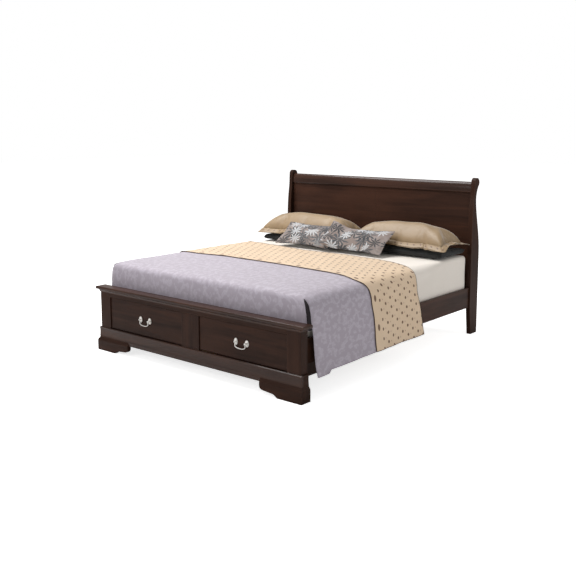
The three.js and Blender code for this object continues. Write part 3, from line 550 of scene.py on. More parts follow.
sheet_rings = padded_shell([(i, low) for i in np.linspace(SHEET_TUCK, MATTRESS_BOTTOM_EDGE + 0.003, 5)])
ring_run = np.cumsum(np.linalg.norm(np.diff(sheet_rings[14], axis=0, append=sheet_rings[14][:1]), axis=1))
sheet_depth = sheet_rings[..., 2] - low
wrinkle = seeded_waves(ring_run[None, :], sheet_depth * 0.35, 0.085, 11) * 0.0011
wrinkle = wrinkle + seeded_waves(ring_run[None, :], sheet_depth * 1.2, 0.42, 12) * 0.0016
on_wall = eased((sheet_depth - 0.01) / 0.05) * eased((high - low - sheet_depth - 0.004) / 0.05)
on_wall = on_wall * (0.15 + 0.85 * eased((sheet_rings[..., 1] - COVERLET_HEAD + 0.15) / 0.1))
outwards = np.roll(sheet_rings, -1, 1) - np.roll(sheet_rings, 1, 1)
outwards = np.stack([outwards[..., 1], -outwards[..., 0]], -1)
outwards /= np.linalg.norm(outwards, axis=-1, keepdims=True) + 1e-9
sheet_rings[..., :2] += outwards * ((wrinkle + SHEET_CLEAR) * on_wall)[..., None]
on_top = eased((sheet_depth - (high - low) + 0.012) / 0.012)
top_wave = seeded_waves(sheet_rings[..., 0] * 0.6, sheet_rings[..., 1] * 1.6, 0.5, 13) * 0.0008
sheet_rings[..., 2] += on_top * (0.0006 + np.abs(top_wave))
sheet_flat = sheet_rings[..., :2].copy()
sheet_flat[..., 1] = np.where(on_top > 0.5, sheet_flat[..., 1], sheet_rings[..., 2])
sheet_flat[..., 0] = np.where(on_top > 0.5, sheet_flat[..., 0], np.broadcast_to(ring_run, sheet_depth.shape))
sheet_mesh = grid_mesh("fitted_sheet", sheet_rings, sheet_flat, ring=True)
merged(sheet_mesh)
fitted_sheet = new_piece("fitted_sheet", sheet_mesh, sheet_cotton)
thickened(fitted_sheet, SHEET_THICKNESS)

# ---- Coverlet --------------------------------------------------------------------------------------
# A damask-woven bedspread laid over the mattress. Its corners are cut out at the foot, so that the
# end tucks down behind the footboard while the sides hang outside the rails.
COVERLET_THICKNESS = 0.0024
COVERLET_STEP = 0.0125
SIDE_SECTION = ((0, 0.6768), (0.45, 0.6766), (0.76, 0.6755), (0.85, 0.6715), (0.905, 0.6625),
                (0.943, 0.645), (0.966, 0.618), (0.98, 0.575), (0.992, 0.496), (1.005, 0.43),
                (1.017, 0.33), (1.029, 0.23), (1.046, 0.15), (1.053, 0.115))
LEFT_SECTION = ((0, 0.6768), (0.45, 0.6768), (0.8, 0.678), (0.9, 0.68), (0.945, 0.677), (0.972, 0.663),
                (0.986, 0.633), (0.993, 0.585), (0.998, 0.496), (1.005, 0.43), (1.017, 0.33),
                (1.029, 0.23), (1.046, 0.15), (1.053, 0.115))
FOOT_SECTION = ((COVERLET_HEAD, 0), (-0.6, 0), (-0.99, 0), (-1.04, -0.0035), (-1.068, -0.013),
                (-1.0835, -0.032), (-1.089, -0.06), (-1.092, -0.11), (-1.0927, -0.205))
CORNER_CUT_RIGHT, CORNER_CUT_LEFT, CORNER_CUT_FOOT = 0.925, 0.925, -1.0560
SLIT_RIGHT, SLIT_LEFT = 0.009, 0.030
HEM_LOW = 0.148
HEM_CUT = 0.150
SHOULDER_DIP = 0.85
RIDGES = ((-0.80, -0.275, 0.10, -0.375, 0.0034, 0.012), (-0.70, -0.320, -0.05, -0.420, 0.0030, 0.010),
          (-0.30, -0.390, 0.55, -0.480, 0.0030, 0.014), (-0.62, -0.455, 0.20, -0.545, 0.0020, 0.016),
          (-0.10, -0.625, 0.60, -0.570, 0.0018, 0.018), (0.25, -0.440, 0.72, -0.530, 0.0026, 0.012),
          (-0.88, -0.605, -0.35, -0.685, 0.0016, 0.020))
# How far the painted-shade strip in the foot corner's slit is set back.
SLIT_SHADOW_SET_BACK = 0.005
LAVENDER = (0.370, 0.330, 0.377)
LAVENDER_PALE = (0.500, 0.457, 0.524)
LAVENDER_DEEP = (0.303, 0.265, 0.306)
# The black of the strip in the corner slit is painted shade: the real slit is only in shadow.
SLIT_SHADOW_BLACK, SLIT_SHADOW_DEEP = (0.020, 0.014, 0.016), (0.012, 0.009, 0.010)


def length_along(line):
    """How far each point of a line lies from its start, along it."""
    return np.concatenate([[0], np.cumsum(np.linalg.norm(np.diff(line, axis=0), axis=1))])


def smooth_line(points, step=0.002):
    """A smooth line through points: cubic arcs over the chord length, whose slope at each point is
    the mean of the slopes beside it, weighted to the nearer. Returns (length along it, points)."""
    knot = np.array(points, float)
    chord = length_along(knot)
    gap = np.diff(chord)[:, None]
    slope = np.diff(knot, axis=0) / gap
    inner = (slope[:-1] * gap[1:] + slope[1:] * gap[:-1]) / (gap[1:] + gap[:-1])
    lean = np.vstack([slope[:1], inner, slope[-1:]])
    at = np.linspace(0, chord[-1], int(chord[-1] / step) + 2)
    k = np.clip(np.searchsorted(chord, at, side="right") - 1, 0, len(gap) - 1)
    t = (at - chord[k])[:, None] / gap[k]
    line = ((2 * t ** 3 - 3 * t ** 2 + 1) * knot[k] + (t ** 3 - 2 * t ** 2 + t) * gap[k] * lean[k]
            + (3 * t ** 2 - 2 * t ** 3) * knot[k + 1] + (t ** 3 - t ** 2) * gap[k] * lean[k + 1])
    return length_along(line), line


side_run, side_line = smooth_line(SIDE_SECTION)
left_run, left_line = smooth_line(LEFT_SECTION)
foot_run, foot_line = smooth_line(FOOT_SECTION)


def bed_relief(x, y):
    """How far the bedding stands above its smooth shape on the top: slow waves of about a
    millimetre, and a few long soft ridges that run across the bed beside the runner. A ridge goes
    from x0, y0 to x1, y1, and its height falls off as a bell of its width."""
    relief = 0.0009 * seeded_waves(x * 0.7, y, 0.55, 21) * eased((y + 1.0855) / 0.25)
    for x0, y0, x1, y1, high_by, wide in RIDGES:
        share = (x - x0) / (x1 - x0)
        middle = y0 + (y1 - y0) * share + 0.006 * np.sin(7 * x + 40 * y0)
        ends = eased(share / 0.25) * eased((1 - share) / 0.25)
        relief = relief + high_by * ends * np.exp(-((y - middle) / wide) ** 2)
    return relief


def over_side(run, y, lift):
    """A point of cloth that hangs over the bed's side: run metres across from the middle line
    (negative to the left), at y, lifted off the coverlet's face by lift. The section gives x and
    height, the lift is along its normal, and folds swing the drop out more the lower it is."""
    reach = np.abs(run)

    def section(column, at):
        return np.where(run < 0, np.interp(at, left_run, left_line[:, column]),
                        np.interp(at, side_run, side_line[:, column]))

    x, z = section(0, reach), section(1, reach)
    ahead = section(0, reach + 0.004) - section(0, reach - 0.004)
    fall = section(1, reach + 0.004) - section(1, reach - 0.004)
    length = np.hypot(ahead, fall) + 1e-9
    along = np.where(run < 0, y + 3.1, y)
    depth = eased((0.60 - z) / 0.48)
    swing = 0.0055 * seeded_waves(along, z * 0.25, 0.52, 31) + 0.0022 * seeded_waves(along, z * 0.2, 0.19, 32)
    top = eased((z - 0.655) / 0.02)
    x = x - fall / length * lift + depth * swing
    z = z + ahead / length * lift + top * bed_relief(np.sign(run) * x, y)
    return np.sign(run) * x, z


def run_at_x(x):
    """How far across the cloth a place on the top lies."""
    return -np.interp(-x, left_line[:, 0], left_run) if x < 0 else np.interp(x, side_line[:, 0], side_run)


def run_at_height(z):
    """How far across the cloth a height on the drop lies."""
    return np.interp(-z, -side_line[:, 1], side_run)


def stepped(first, last, step=COVERLET_STEP):
    """Even steps from first to last, of about one size."""
    return np.linspace(first, last, max(2, int(round(abs(last - first) / step)) + 1))


cut_right, cut_left = run_at_x(CORNER_CUT_RIGHT), run_at_x(-CORNER_CUT_LEFT)
cut_foot = np.interp(-CORNER_CUT_FOOT, -foot_line[:, 0], foot_run)
drop_full = run_at_height(HEM_CUT)
across = np.concatenate([stepped(-drop_full, cut_left)[:-1], stepped(cut_left, cut_right)[:-1],
                         stepped(cut_right, drop_full)])
along = np.concatenate([stepped(0, cut_foot)[:-1], stepped(cut_foot, foot_run[-1])])
run, lie = np.meshgrid(across, along)
lie_y = np.interp(lie, foot_run, foot_line[:, 0])
lie_dip = np.interp(lie, foot_run, foot_line[:, 1])


def hem_height(y):
    """The height of the coverlet's side hem: lowest at the foot, with a small step up where the
    hem has been turned, and rising a little to the head."""
    return HEM_LOW + 0.019 * eased((y + 0.9375) / 0.03) + 0.007 * eased((y + 0.8855) / 0.6)


edge_run = np.where(run < 0, -cut_left, cut_right)
hang = np.clip(np.abs(run) - edge_run, 0, None) / (drop_full - edge_run)
run = np.where(np.abs(run) > edge_run,
               np.sign(run) * (edge_run + hang * (run_at_height(hem_height(lie_y)) - edge_run)), run)
coverlet_x, coverlet_z = over_side(run, lie_y, 0.0)
coverlet_z = coverlet_z + lie_dip * (1 - SHOULDER_DIP * eased((np.abs(run) - edge_run) / 0.12))
flap_wave = eased((-0.03 - lie_dip) / 0.05) * (0.0016 * seeded_waves(run, lie * 0.4, 0.33, 41))
on_flap = eased((lie - cut_foot) / 0.012) * eased((np.abs(run) - 0.45) / (cut_right - 0.45))
beside = np.where(run < 0, -np.interp(-coverlet_z, -left_line[:, 1], left_line[:, 0]) + SLIT_LEFT,
                  np.interp(-coverlet_z, -side_line[:, 1], side_line[:, 0]) - SLIT_RIGHT)
coverlet_x = coverlet_x + on_flap * (beside - np.sign(run) * CORNER_CUT_RIGHT) * (lie > cut_foot)
coverlet_place = np.stack([coverlet_x, lie_y + flap_wave, coverlet_z], -1)
coverlet_flat = np.stack([run, COVERLET_HEAD - lie], -1)
middle_run = (run[:-1, :-1] + run[1:, 1:]) / 2
middle_lie = (lie[:-1, :-1] + lie[1:, 1:]) / 2
kept = ~(((middle_run > cut_right) | (middle_run < cut_left)) & (middle_lie > cut_foot))
coverlet_mesh = grid_mesh("coverlet_damask", coverlet_place[::-1], coverlet_flat[::-1], keep=kept[::-1])


def warped(place, bending, reach):
    """A coordinate pushed about by coloured noise that reads another, up to a reach each way."""
    bend = added(place.id_data, "TexNoise", {"Vector": bending, "Scale": 16.0, "Detail": 2.0})
    return added(place.id_data, "VectorMath", {0: bend.outputs["Color"], 1: reach, 2: place},
                 operation="MULTIPLY_ADD").outputs[0]


def damask(name, pale, mid, deep):
    """Damask: leaf scrolls woven in satin on a dull ground, drawn by warped waves stretched along
    the warp, with the thread's own streaks and a sheen where the satin floats lie."""
    material, shader = new_material(name)
    place = cloth_coordinates(shader)
    bent = warped(place, mapped(place, scale=(1.0, 0.7, 1)), (0.030, 0.040, 0))
    motif = ranged(noise(mapped(bent, scale=(30, 21, 1)), 1.0, 1.5, 0.5), 0.47, 0.56)
    vein = noise(mapped(bent, scale=(110, 60, 1)), 1.0, 2.0, 0.5)
    figure = times(motif, ranged(vein, 0.38, 0.60, 0.45, 1.0))
    streak = noise(mapped(place, scale=(420, 7, 1)), 1.0, 3, 0.6)
    cloud = noise(mapped(place, scale=(1.6, 1.6, 1)), 1.0, 2, 0.5)
    ground = blended(ranged(cloud, 0.35, 0.68, 0.0, 0.25), mid, deep)
    figured = blended(times(figure, 0.55), ground, pale)
    fed(shader, {"Base Color": blended(ranged(streak, 0.42, 0.72, 0.0, 0.30), figured, deep),
                 "Roughness": ranged(figure, 0.0, 1.0, 0.74, 0.50),
                 "Sheen Weight": 0.35, "Sheen Roughness": 0.4, "Specular IOR Level": 0.35})
    threads = times(weave(place, 0.0013), 0.12)
    bumped(shader, plus(threads, plus(times(figure, 0.5), times(streak, 0.25))), 0.0006, 0.7)
    return material


coverlet_damask = damask("coverlet_damask", LAVENDER_PALE, LAVENDER, LAVENDER_DEEP)
coverlet = new_piece("coverlet_spread", coverlet_mesh, coverlet_damask)
thickened(coverlet, COVERLET_THICKNESS)
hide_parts("coverlet")


def corded_edge(name, path, radius, material, sides=8):
    """A cord sewn along an edge: a circle of the radius carried along the path, square to its
    direction, with both ends closed to a point."""
    tangent = np.gradient(path, axis=0)
    tangent /= np.linalg.norm(tangent, axis=1, keepdims=True)
    reference = np.where(np.abs(tangent[:, 1:2]) > 0.75, (1.0, 0.0, 0.0), (0.0, 1.0, 0.0))
    first = np.cross(tangent, reference)
    first /= np.linalg.norm(first, axis=1, keepdims=True)
    second = np.cross(tangent, first)
    spin = np.linspace(0, 2 * np.pi, sides, endpoint=False)
    size = np.full(len(path), radius)
    size[0] = size[-1] = 0.00002
    rings = (path[:, None] + size[:, None, None] * (np.cos(spin)[None, :, None] * first[:, None]
             + np.sin(spin)[None, :, None] * second[:, None]))
    flat = np.stack(np.broadcast_arrays(length_along(path)[:, None], spin[None] * radius), -1)
    mesh = grid_mesh(name, rings, flat, ring=True)
    merged(mesh, 0.0001)
    return new_piece(name, mesh, material)


foot_row = len(stepped(0, cut_foot)) - 1
for side, column in (("left", 0), ("right", -1)):
    hem = coverlet_place[: foot_row + 1, column] + (0.0, 0.0, 0.0012)
    corded_edge(f"coverlet_hem_{side}", hem, 0.0022, coverlet_damask)
cut_columns = [int(np.argmin(np.abs(across - cut))) for cut in (cut_left, cut_right)]
for side, columns in (("left", slice(0, cut_columns[0] + 1)), ("right", slice(cut_columns[1], None))):
    hem = coverlet_place[foot_row, columns]
    corded_edge(f"coverlet_end_hem_{side}", hem, 0.0020, coverlet_damask)


def slit_shadow_strip(name, flap_edge, drop_edge, inwards):
    """A dark strip that stands in for the shade inside the slit at a corner, so its black is painted
    shade: ruled between the flap's edge and the same heights on the drop's front edge, and set back from
    both."""
    order = np.argsort(drop_edge[:, 2])
    height, front = flap_edge[:, 2], drop_edge[order]
    facing = np.stack([np.interp(height, front[:, 2], front[:, k]) for k in range(3)], 1)
    share = np.linspace(0, 1, 4)[None, :, None]
    strip = flap_edge[:, None] * (1 - share) + facing[:, None] * share
    strip = strip + np.array(inwards) * SLIT_SHADOW_SET_BACK
    flat = np.stack(np.broadcast_arrays(share[..., 0] * 0.02, flap_edge[:, 2:3]), -1)
    piece = new_piece(name, grid_mesh(name, strip, flat), slit_shadow_cloth)
    thickened(piece, 0.001, 0.0)
    return piece


# A dark cloth strip closes the right corner's slit: painted shade where the real slit is only shadowed.
slit_shadow_cloth = plain_cotton("slit_shadow_cloth", SLIT_SHADOW_BLACK, SLIT_SHADOW_DEEP)
flap_edge, drop_edge = coverlet_place[foot_row:, cut_columns[1]], coverlet_place[foot_row, cut_columns[1]:]
slit_shadow_strip("coverlet_slit_shadow_right", flap_edge, drop_edge, (-0.6, 0.8, 0))

# ---- Bed runner ------------------------------------------------------------------------------------
# A cream satin-faced runner with small woven leaf dots, laid across the coverlet a little askew.
# Its foot edge has a plain band with larger sprigs, and a dark cord is sewn along the edge.
RUNNER_THICKNESS = 0.0018
RUNNER_LIFT = 0.0042
RUNNER_DROP_TO_SHEET = 0.0062
RUNNER_HEM = 0.176
RUNNER_STEP = 0.0105
CREAM = (0.69, 0.525, 0.365)
CREAM_DEEP = (0.59, 0.435, 0.290)
DOT_BROWN = (0.105, 0.045, 0.022)
CORD_BROWN, CORD_SHADE = (0.050, 0.022, 0.013), (0.032, 0.013, 0.008)
DOT_PITCH, DOT_ROW = 0.068, 0.066
BAND_WIDTH = 0.088
SPRIG_PITCH = 0.205
FOOT_EDGE = ((-1.5, -0.36), (-0.95, -0.365), (-0.6, -0.32), (-0.227, -0.305), (0.302, -0.327),
             (0.747, -0.391), (0.911, -0.44), (run_at_height(0.62), -0.405),
             (run_at_height(0.449), -0.386), (run_at_height(0.178), -0.396))
HEAD_EDGE = ((-1.5, 0.46), (-0.95, 0.468), (-0.6, 0.445), (-0.279, 0.4), (0.237, 0.403), (0.529, 0.374),
             (0.817, 0.287), (run_at_height(0.631), 0.225), (run_at_height(0.485), 0.212),
             (run_at_height(0.347), 0.232), (run_at_height(0.183), 0.245))


def edge_at(points, run):
    """A runner edge's y at each place across, on the smooth line through its points."""
    line = smooth_line(points)[1]
    order = np.argsort(line[:, 0])
    return np.interp(run, line[order, 0], line[order, 1])


runner_hem = run_at_height(RUNNER_HEM)
run, share = np.meshgrid(stepped(-runner_hem, runner_hem, RUNNER_STEP), np.linspace(0, 1, 66))
runner_foot, runner_head = edge_at(FOOT_EDGE, run), edge_at(HEAD_EDGE, run)
runner_y = runner_foot + (runner_head - runner_foot) * share
off_coverlet = eased((runner_y - COVERLET_HEAD + 0.008) / 0.035) * eased((0.99 - np.abs(run)) / 0.10)
edge_curl = 0.0012 * np.exp(-share / 0.02) + 0.0014 * np.exp(-(1 - share) / 0.02)
runner_lift = RUNNER_LIFT - RUNNER_DROP_TO_SHEET * off_coverlet + edge_curl
runner_lift = runner_lift + 0.0012 * np.abs(seeded_waves(run, runner_y, 0.21, 51))
runner_x, runner_z = over_side(run, runner_y, runner_lift)
runner_place = np.stack([runner_x, runner_y, runner_z], -1)
runner_flat = np.stack([run, runner_y - runner_foot], -1)
runner_mesh = grid_mesh("runner_cloth", runner_place, runner_flat)


def cell_offset(value, pitch, shift, across=1.0):
    """How far a value lies from the middle of its cell, in cells of a pitch, times the last size."""
    return times(plus(maths("FRACT", plus(maths("DIVIDE", value, pitch), shift)), -0.5), across)


def spot(off_u, off_v, radius, core):
    """1 within the core distance of a middle and 0 beyond the radius, from two offsets."""
    reach = maths("SQRT", plus(maths("POWER", off_u, 2.0), maths("POWER", off_v, 2.0)))
    return ranged(reach, radius, core)


def leaf_dots(u, v, radius, shift=0.0):
    """Small leaf dots in rows that are staggered by half a pitch: 1 in a dot and 0 outside it.
    Each dot is a disc round the middle of its cell."""
    rows = plus(maths("DIVIDE", v, DOT_ROW), 40.0 + shift)
    stagger = plus(times(maths("MODULO", maths("FLOOR", rows), 2.0), 0.5), 40.0 + shift)
    off_u = cell_offset(u, DOT_PITCH, stagger, DOT_PITCH)
    return spot(off_u, cell_offset(v, DOT_ROW, 40.0 + shift, DOT_ROW), radius, radius * 0.72)


def runner_cloth():
    """The runner's satin: cream threads with fine cross ribs, staggered brown leaf dots, and a row of
    sprigs in the plain band beside the foot edge."""
    material, shader = new_material("runner_satin")
    place = cloth_coordinates(shader)
    u, v = split_xy(place)
    jitter = times(plus(noise(place, 70, 2), -0.5), 0.006)
    rough_u, rough_v = plus(u, jitter), plus(v, jitter)
    field = ranged(v, BAND_WIDTH, BAND_WIDTH + 0.006)
    dots = times(leaf_dots(rough_u, rough_v, 0.0125), field)
    small = times(times(leaf_dots(rough_u, rough_v, 0.0062, 0.5), 0.40), field)
    off_v = times(plus(rough_v, -0.046), 0.8)
    sprig = spot(cell_offset(rough_u, SPRIG_PITCH, 40.3, SPRIG_PITCH / 2.2), off_v, 0.0125, 0.0085)
    figure = maths("MAXIMUM", maths("MAXIMUM", dots, small), sprig)
    rib = maths("SINE", times(v, 2 * math.pi / 0.0022))
    streak = noise(mapped(place, scale=(6, 300, 1)), 1.0, 3, 0.6)
    tone = blended(ranged(noise(place, 4.5, 3, 0.55), 0.35, 0.7, 0.0, 0.4), CREAM, CREAM_DEEP)
    thread = blended(ranged(streak, 0.45, 0.75, 0.0, 0.3), tone, CREAM_DEEP)
    fed(shader, {"Base Color": blended(times(figure, 0.9), thread, DOT_BROWN),
                 "Roughness": ranged(figure, 0.0, 1.0, 0.50, 0.75),
                 "Sheen Weight": 0.2, "Sheen Roughness": 0.4, "Specular IOR Level": 0.35})
    bumped(shader, plus(times(rib, 0.12), times(figure, 0.7)), 0.0008, 0.7)
    return material


runner_satin = runner_cloth()
cord_brown = plain_cotton("cord_brown", CORD_BROWN, CORD_SHADE)
runner = new_piece("runner_cloth", runner_mesh, runner_satin)
thickened(runner, RUNNER_THICKNESS)
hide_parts("bed_runner")
for name, path, radius in (("foot", runner_place[0], 0.0021), ("head", runner_place[-1], 0.0014),
                           ("left", runner_place[:, 0], 0.0016), ("right", runner_place[:, -1], 0.0016)):
    corded_edge(f"runner_cord_{name}", path, radius, cord_brown)

# ---- Black pillows ---------------------------------------------------------------------------------
# Two bed pillows in black cotton cases lie flat on the sheet under the shams, pressed by them.
# A case is two rectangles of cloth sewn round the edge, filled until it swells.
BLACK_COTTON = (0.012, 0.0125, 0.0130)
# A paler black, blended in at random patches and along the threads' streaks.
BLACK_PALER = (0.030, 0.031, 0.032)
FILL_FRAMES = 22
PILLOW_FLATNESS = 0.26
PILLOW_SAG = 0.004


def sewn_case(width, depth, step, start):
    """Two rectangles of cloth joined round their edge. Each is a grid, and the two part by
    start x the root of (cosine of the way across x cosine of the way along). Returns the points,
    the faces and the numbers of the points round the edge."""
    columns, rows = int(round(width / step)) + 1, int(round(depth / step)) + 1
    u, v = np.meshgrid(np.linspace(-0.5, 0.5, columns), np.linspace(-0.5, 0.5, rows))
    puff = start * (np.cos(np.pi * u) * np.cos(np.pi * v)).clip(0) ** 0.5
    upper = np.stack([u * width, v * depth, puff], -1)
    index = np.arange(rows * columns).reshape(rows, columns)
    inner = np.zeros((rows, columns), bool)
    inner[1:-1, 1:-1] = True
    lower_index = index.copy()
    lower_index[inner] = rows * columns + np.arange(inner.sum())
    points = np.vstack([upper.reshape(-1, 3), upper[inner] * (1, 1, -1)])
    faces = np.vstack([squares_of(index).reshape(-1, 4), squares_of(lower_index).reshape(-1, 4)[:, ::-1]])
    rim = np.concatenate([index[0, :-1], index[:-1, -1], index[-1, :0:-1], index[:0:-1, 0]])
    return points, faces, rim


def filled(name, points, faces, pressure):
    """Blows a sewn case up with a cloth simulation under inner pressure and no weight, and returns
    where its points end."""
    mesh = bpy.data.meshes.new(name + "_case")
    mesh.from_pydata(points.tolist(), [], faces.tolist())
    case = bpy.data.objects.new(name + "_case", mesh)
    scene.collection.objects.link(case)
    cloth = case.modifiers.new("fill", "CLOTH")
    for setting, value in (("quality", 5), ("mass", 0.25), ("tension_stiffness", 12),
                           ("compression_stiffness", 12), ("shear_stiffness", 6), ("bending_stiffness", 0.35),
                           ("use_pressure", True), ("uniform_pressure_force", pressure)):
        setattr(cloth.settings, setting, value)
    cloth.settings.effector_weights.gravity = 0
    cloth.collision_settings.use_collision = False
    cloth.point_cache.frame_start = 1
    cloth.point_cache.frame_end = FILL_FRAMES
    for step in range(1, FILL_FRAMES + 1):
        scene.frame_set(step)
    shown = case.evaluated_get(bpy.context.evaluated_depsgraph_get())
    end = np.zeros(len(points) * 3, np.float32)
    shown.data.vertices.foreach_get("co", end)
    bpy.data.objects.remove(case)
    bpy.data.meshes.remove(mesh)
    scene.frame_set(1)
    return end.reshape(-1, 3).astype(float)


def fitted_form(end, points, rim, width, depth, drawn):
    """A filled case brought to a stated width and depth at its seam, with the height as a share of
    its greatest. The seam is drawn in between the corners by only a share of what the filling
    would draw it. Returns x, y (metres, centred) and the share, above or below the seam."""
    seam = end[rim]
    centre = (seam.max(0) + seam.min(0)) / 2
    spread = seam.max(0) - seam.min(0)
    cut = points[rim].max(0) - points[rim].min(0)
    x = (end[:, 0] - centre[0]) * width / spread[0] * drawn + points[:, 0] * width / cut[0] * (1 - drawn)
    y = (end[:, 1] - centre[1]) * depth / spread[1] * drawn + points[:, 1] * depth / cut[1] * (1 - drawn)
    return x, y, end[:, 2] / np.abs(end[:, 2]).max()


def padded_piece(name, mesh, material, stands_for):
    """A filled case as a piece: subdivided once, in place of its plain solid."""
    piece = new_piece(name, mesh, material)
    modified(piece, "finer", "SUBSURF", levels=1, render_levels=1)
    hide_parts(stands_for)


black_cotton = plain_cotton("black_cotton", BLACK_COTTON, BLACK_PALER, rough=0.8, sheen=0.12)
for side, mirror in (("left", -1), ("right", 1)):
    low, high = box_of(f"black_pillow_{side}")
    size, centre = high - low, (low + high) / 2
    points, faces, rim = sewn_case(size[0] + 0.06, size[1] + 0.05, 0.0125, 0.010)
    end = filled(f"black_pillow_{side}", points, faces, pressure=3.0)
    x, y, share = fitted_form(end, points, rim, size[0] - 0.006, size[1] - 0.006, drawn=0.12)
    rise = np.sign(share) * np.abs(share) ** PILLOW_FLATNESS * (size[2] - 0.002) / 2
    sag = PILLOW_SAG * seeded_waves(x, y, 0.4, 61 + mirror)
    z = centre[2] + rise + sag * (rise > 0) * eased(share * 3)
    place = np.stack([centre[0] + mirror * x, centre[1] + y, z], -1)
    mesh = cloth_mesh(f"black_pillow_case_{side}", place, faces[:, ::mirror], cloth=points[:, :2])
    padded_piece(f"black_pillow_case_{side}", mesh, black_cotton, f"black_pillow_{side}")

# ---- Gold shams ------------------------------------------------------------------------------------
# Two filled pillows in gold satin shams. The two faces run on past the seam as a flat flange with a
# row of woven dots, and the flange droops over the pillow beneath and comes to points at the corners.
GOLD = (0.305, 0.213, 0.120)
GOLD_DEEP = (0.215, 0.142, 0.074)
FLANGE = 0.052
FLANGE_DOT_PITCH = 0.058
FLANGE_ROWS = 8
FLANGE_THICKNESS = 0.0012
SHAM_SEAM_HEIGHT = 0.046
SHAM_LOFT = 0.016
SHAM_CROWN, SHAM_UNDERSIDE = 0.64, 0.35
SHAM_CORNER_DIP = 0.014
SHAM_SAG = 0.003
LEFT_FLANGE_SHARE = 0.45


def gold_satin():
    """Gold satin: a warp-faced sheen with fine threads, darker in the hollows, and one row of brown
    dots down the middle of the flange. The "rim" map's u is the way along the seam and v is the way
    out from it, so the dots stay in the flange."""
    material, shader = new_material("sham_satin")
    place = cloth_coordinates(shader)
    u, v = split_xy(cloth_coordinates(shader, "rim"))
    off_u = cell_offset(u, FLANGE_DOT_PITCH, 40.0, FLANGE_DOT_PITCH)
    dots = spot(off_u, plus(v, -FLANGE / 2), 0.0100, 0.0070)
    streak = noise(mapped(place, scale=(7, 330, 1)), 1.0, 3, 0.6)
    tone = blended(ranged(noise(place, 5.0, 3, 0.55), 0.35, 0.7, 0.0, 0.45), GOLD, GOLD_DEEP)
    thread = blended(ranged(streak, 0.45, 0.75, 0.0, 0.3), tone, GOLD_DEEP)
    fed(shader, {"Base Color": blended(times(dots, 0.85), thread, DOT_BROWN),
                 "Roughness": ranged(streak, 0.2, 0.8, 0.42, 0.52),
                 "Sheen Weight": 0.6, "Sheen Roughness": 0.35, "Specular IOR Level": 0.45})
    bumped(shader, plus(times(weave(place), 0.2), times(dots, 0.6)), 0.0005, 0.6)
    return material


sham_satin = gold_satin()
for side, mirror in (("left", -1), ("right", 1)):
    low, high = box_of(f"sham_{side}")
    size, centre = high - low, (low + high) / 2
    flange_reach = FLANGE * np.array((LEFT_FLANGE_SHARE if side == "left" else 1.0, 1.0))
    body = size[:2] - 2 * flange_reach
    points, faces, rim = sewn_case(body[0] + 0.10, body[1] + 0.10, 0.0115, 0.012)
    end = filled(f"sham_{side}", points, faces, pressure=4.5)
    x, y, share = fitted_form(end, points, rim, body[0], body[1], drawn=0.35)
    above = (size[2] + SHAM_LOFT - SHAM_SEAM_HEIGHT) * np.abs(share) ** SHAM_CROWN
    below = (SHAM_SEAM_HEIGHT - 0.002) * np.abs(share) ** SHAM_UNDERSIDE
    rise = np.where(share > 0, above, -below)
    corner = (np.abs(2 * x / body[0]) * np.abs(2 * y / body[1])).clip(0, 1.2)
    seam_z = low[2] + SHAM_SEAM_HEIGHT - SHAM_CORNER_DIP * corner ** 3
    sag = SHAM_SAG * seeded_waves(x, y, 0.23, 71 + mirror) * eased(share * 4)
    place = np.stack([centre[0] + mirror * x, centre[1] + y, seam_z + rise + sag], -1)
    mesh = cloth_mesh(f"sham_case_{side}", place, faces[:, ::mirror], cloth=points[:, :2],
                      rim=np.tile((0.0, -0.2), (len(points), 1)))
    padded_piece(f"sham_case_{side}", mesh, sham_satin, f"sham_{side}")

    # The flange is two strips from the seam to an outer line, straight between them and falling by
    # the droop x a power of the way out, more along the front than at the back.
    seam = place[rim]
    from_centre = seam[:, :2] - centre[:2]
    outer = np.column_stack([centre[:2] + from_centre * (1 + 2 * flange_reach / body), seam[:, 2]])
    point = np.prod(np.abs(from_centre / body * 2), axis=1) ** 12
    forward = -from_centre[:, 1] / body[1] * 2
    least_fall = 0.7 if side == "left" else 0.25
    run_along = length_along(seam)
    way_out = np.linspace(0, 1, FLANGE_ROWS)[:, None]
    strips, strip_faces = [], []
    for k, gap, droop, clear in ((0, 0.0012, 0.034, 0.004), (1, -0.0012, 0.041, 0.001)):
        fall = droop + 0.010 * point + 0.003 * seeded_waves(run_along, run_along * 0, 0.31, 81 + mirror)
        fall = np.abs(fall * (least_fall + (1 - least_fall) * eased((forward - 0.45) / 0.5)))
        strip = seam * (1 - way_out[..., None]) + outer * way_out[..., None] + (0, 0, gap)
        strip[..., 2] = np.maximum(strip[..., 2] - way_out ** 1.25 * fall, low[2] + clear)
        strips.append(strip.reshape(-1, 3))
        index = k * len(strips[0]) + np.arange(len(strips[0])).reshape(strip.shape[:2])
        after = np.roll(index, -1, 1)
        squares = np.stack([index[:-1], index[1:], after[1:], after[:-1]], -1).reshape(-1, 4)
        strip_faces.append(squares[:, ::-1] if (k == 1) != (mirror < 0) else squares)
    flange_points = np.concatenate(strips)
    flange_rim = np.stack(np.broadcast_arrays(run_along, way_out * FLANGE), -1).reshape(-1, 2)
    mesh = cloth_mesh(f"sham_flange_{side}", flange_points, np.vstack(strip_faces),
                      cloth=flange_points[:, :2] - centre[:2], rim=np.tile(flange_rim, (2, 1)))
    flange = new_piece(f"sham_flange_{side}", mesh, sham_satin)
    thickened(flange, FLANGE_THICKNESS)
    modified(flange, "finer", "SUBSURF", levels=1, render_levels=1)

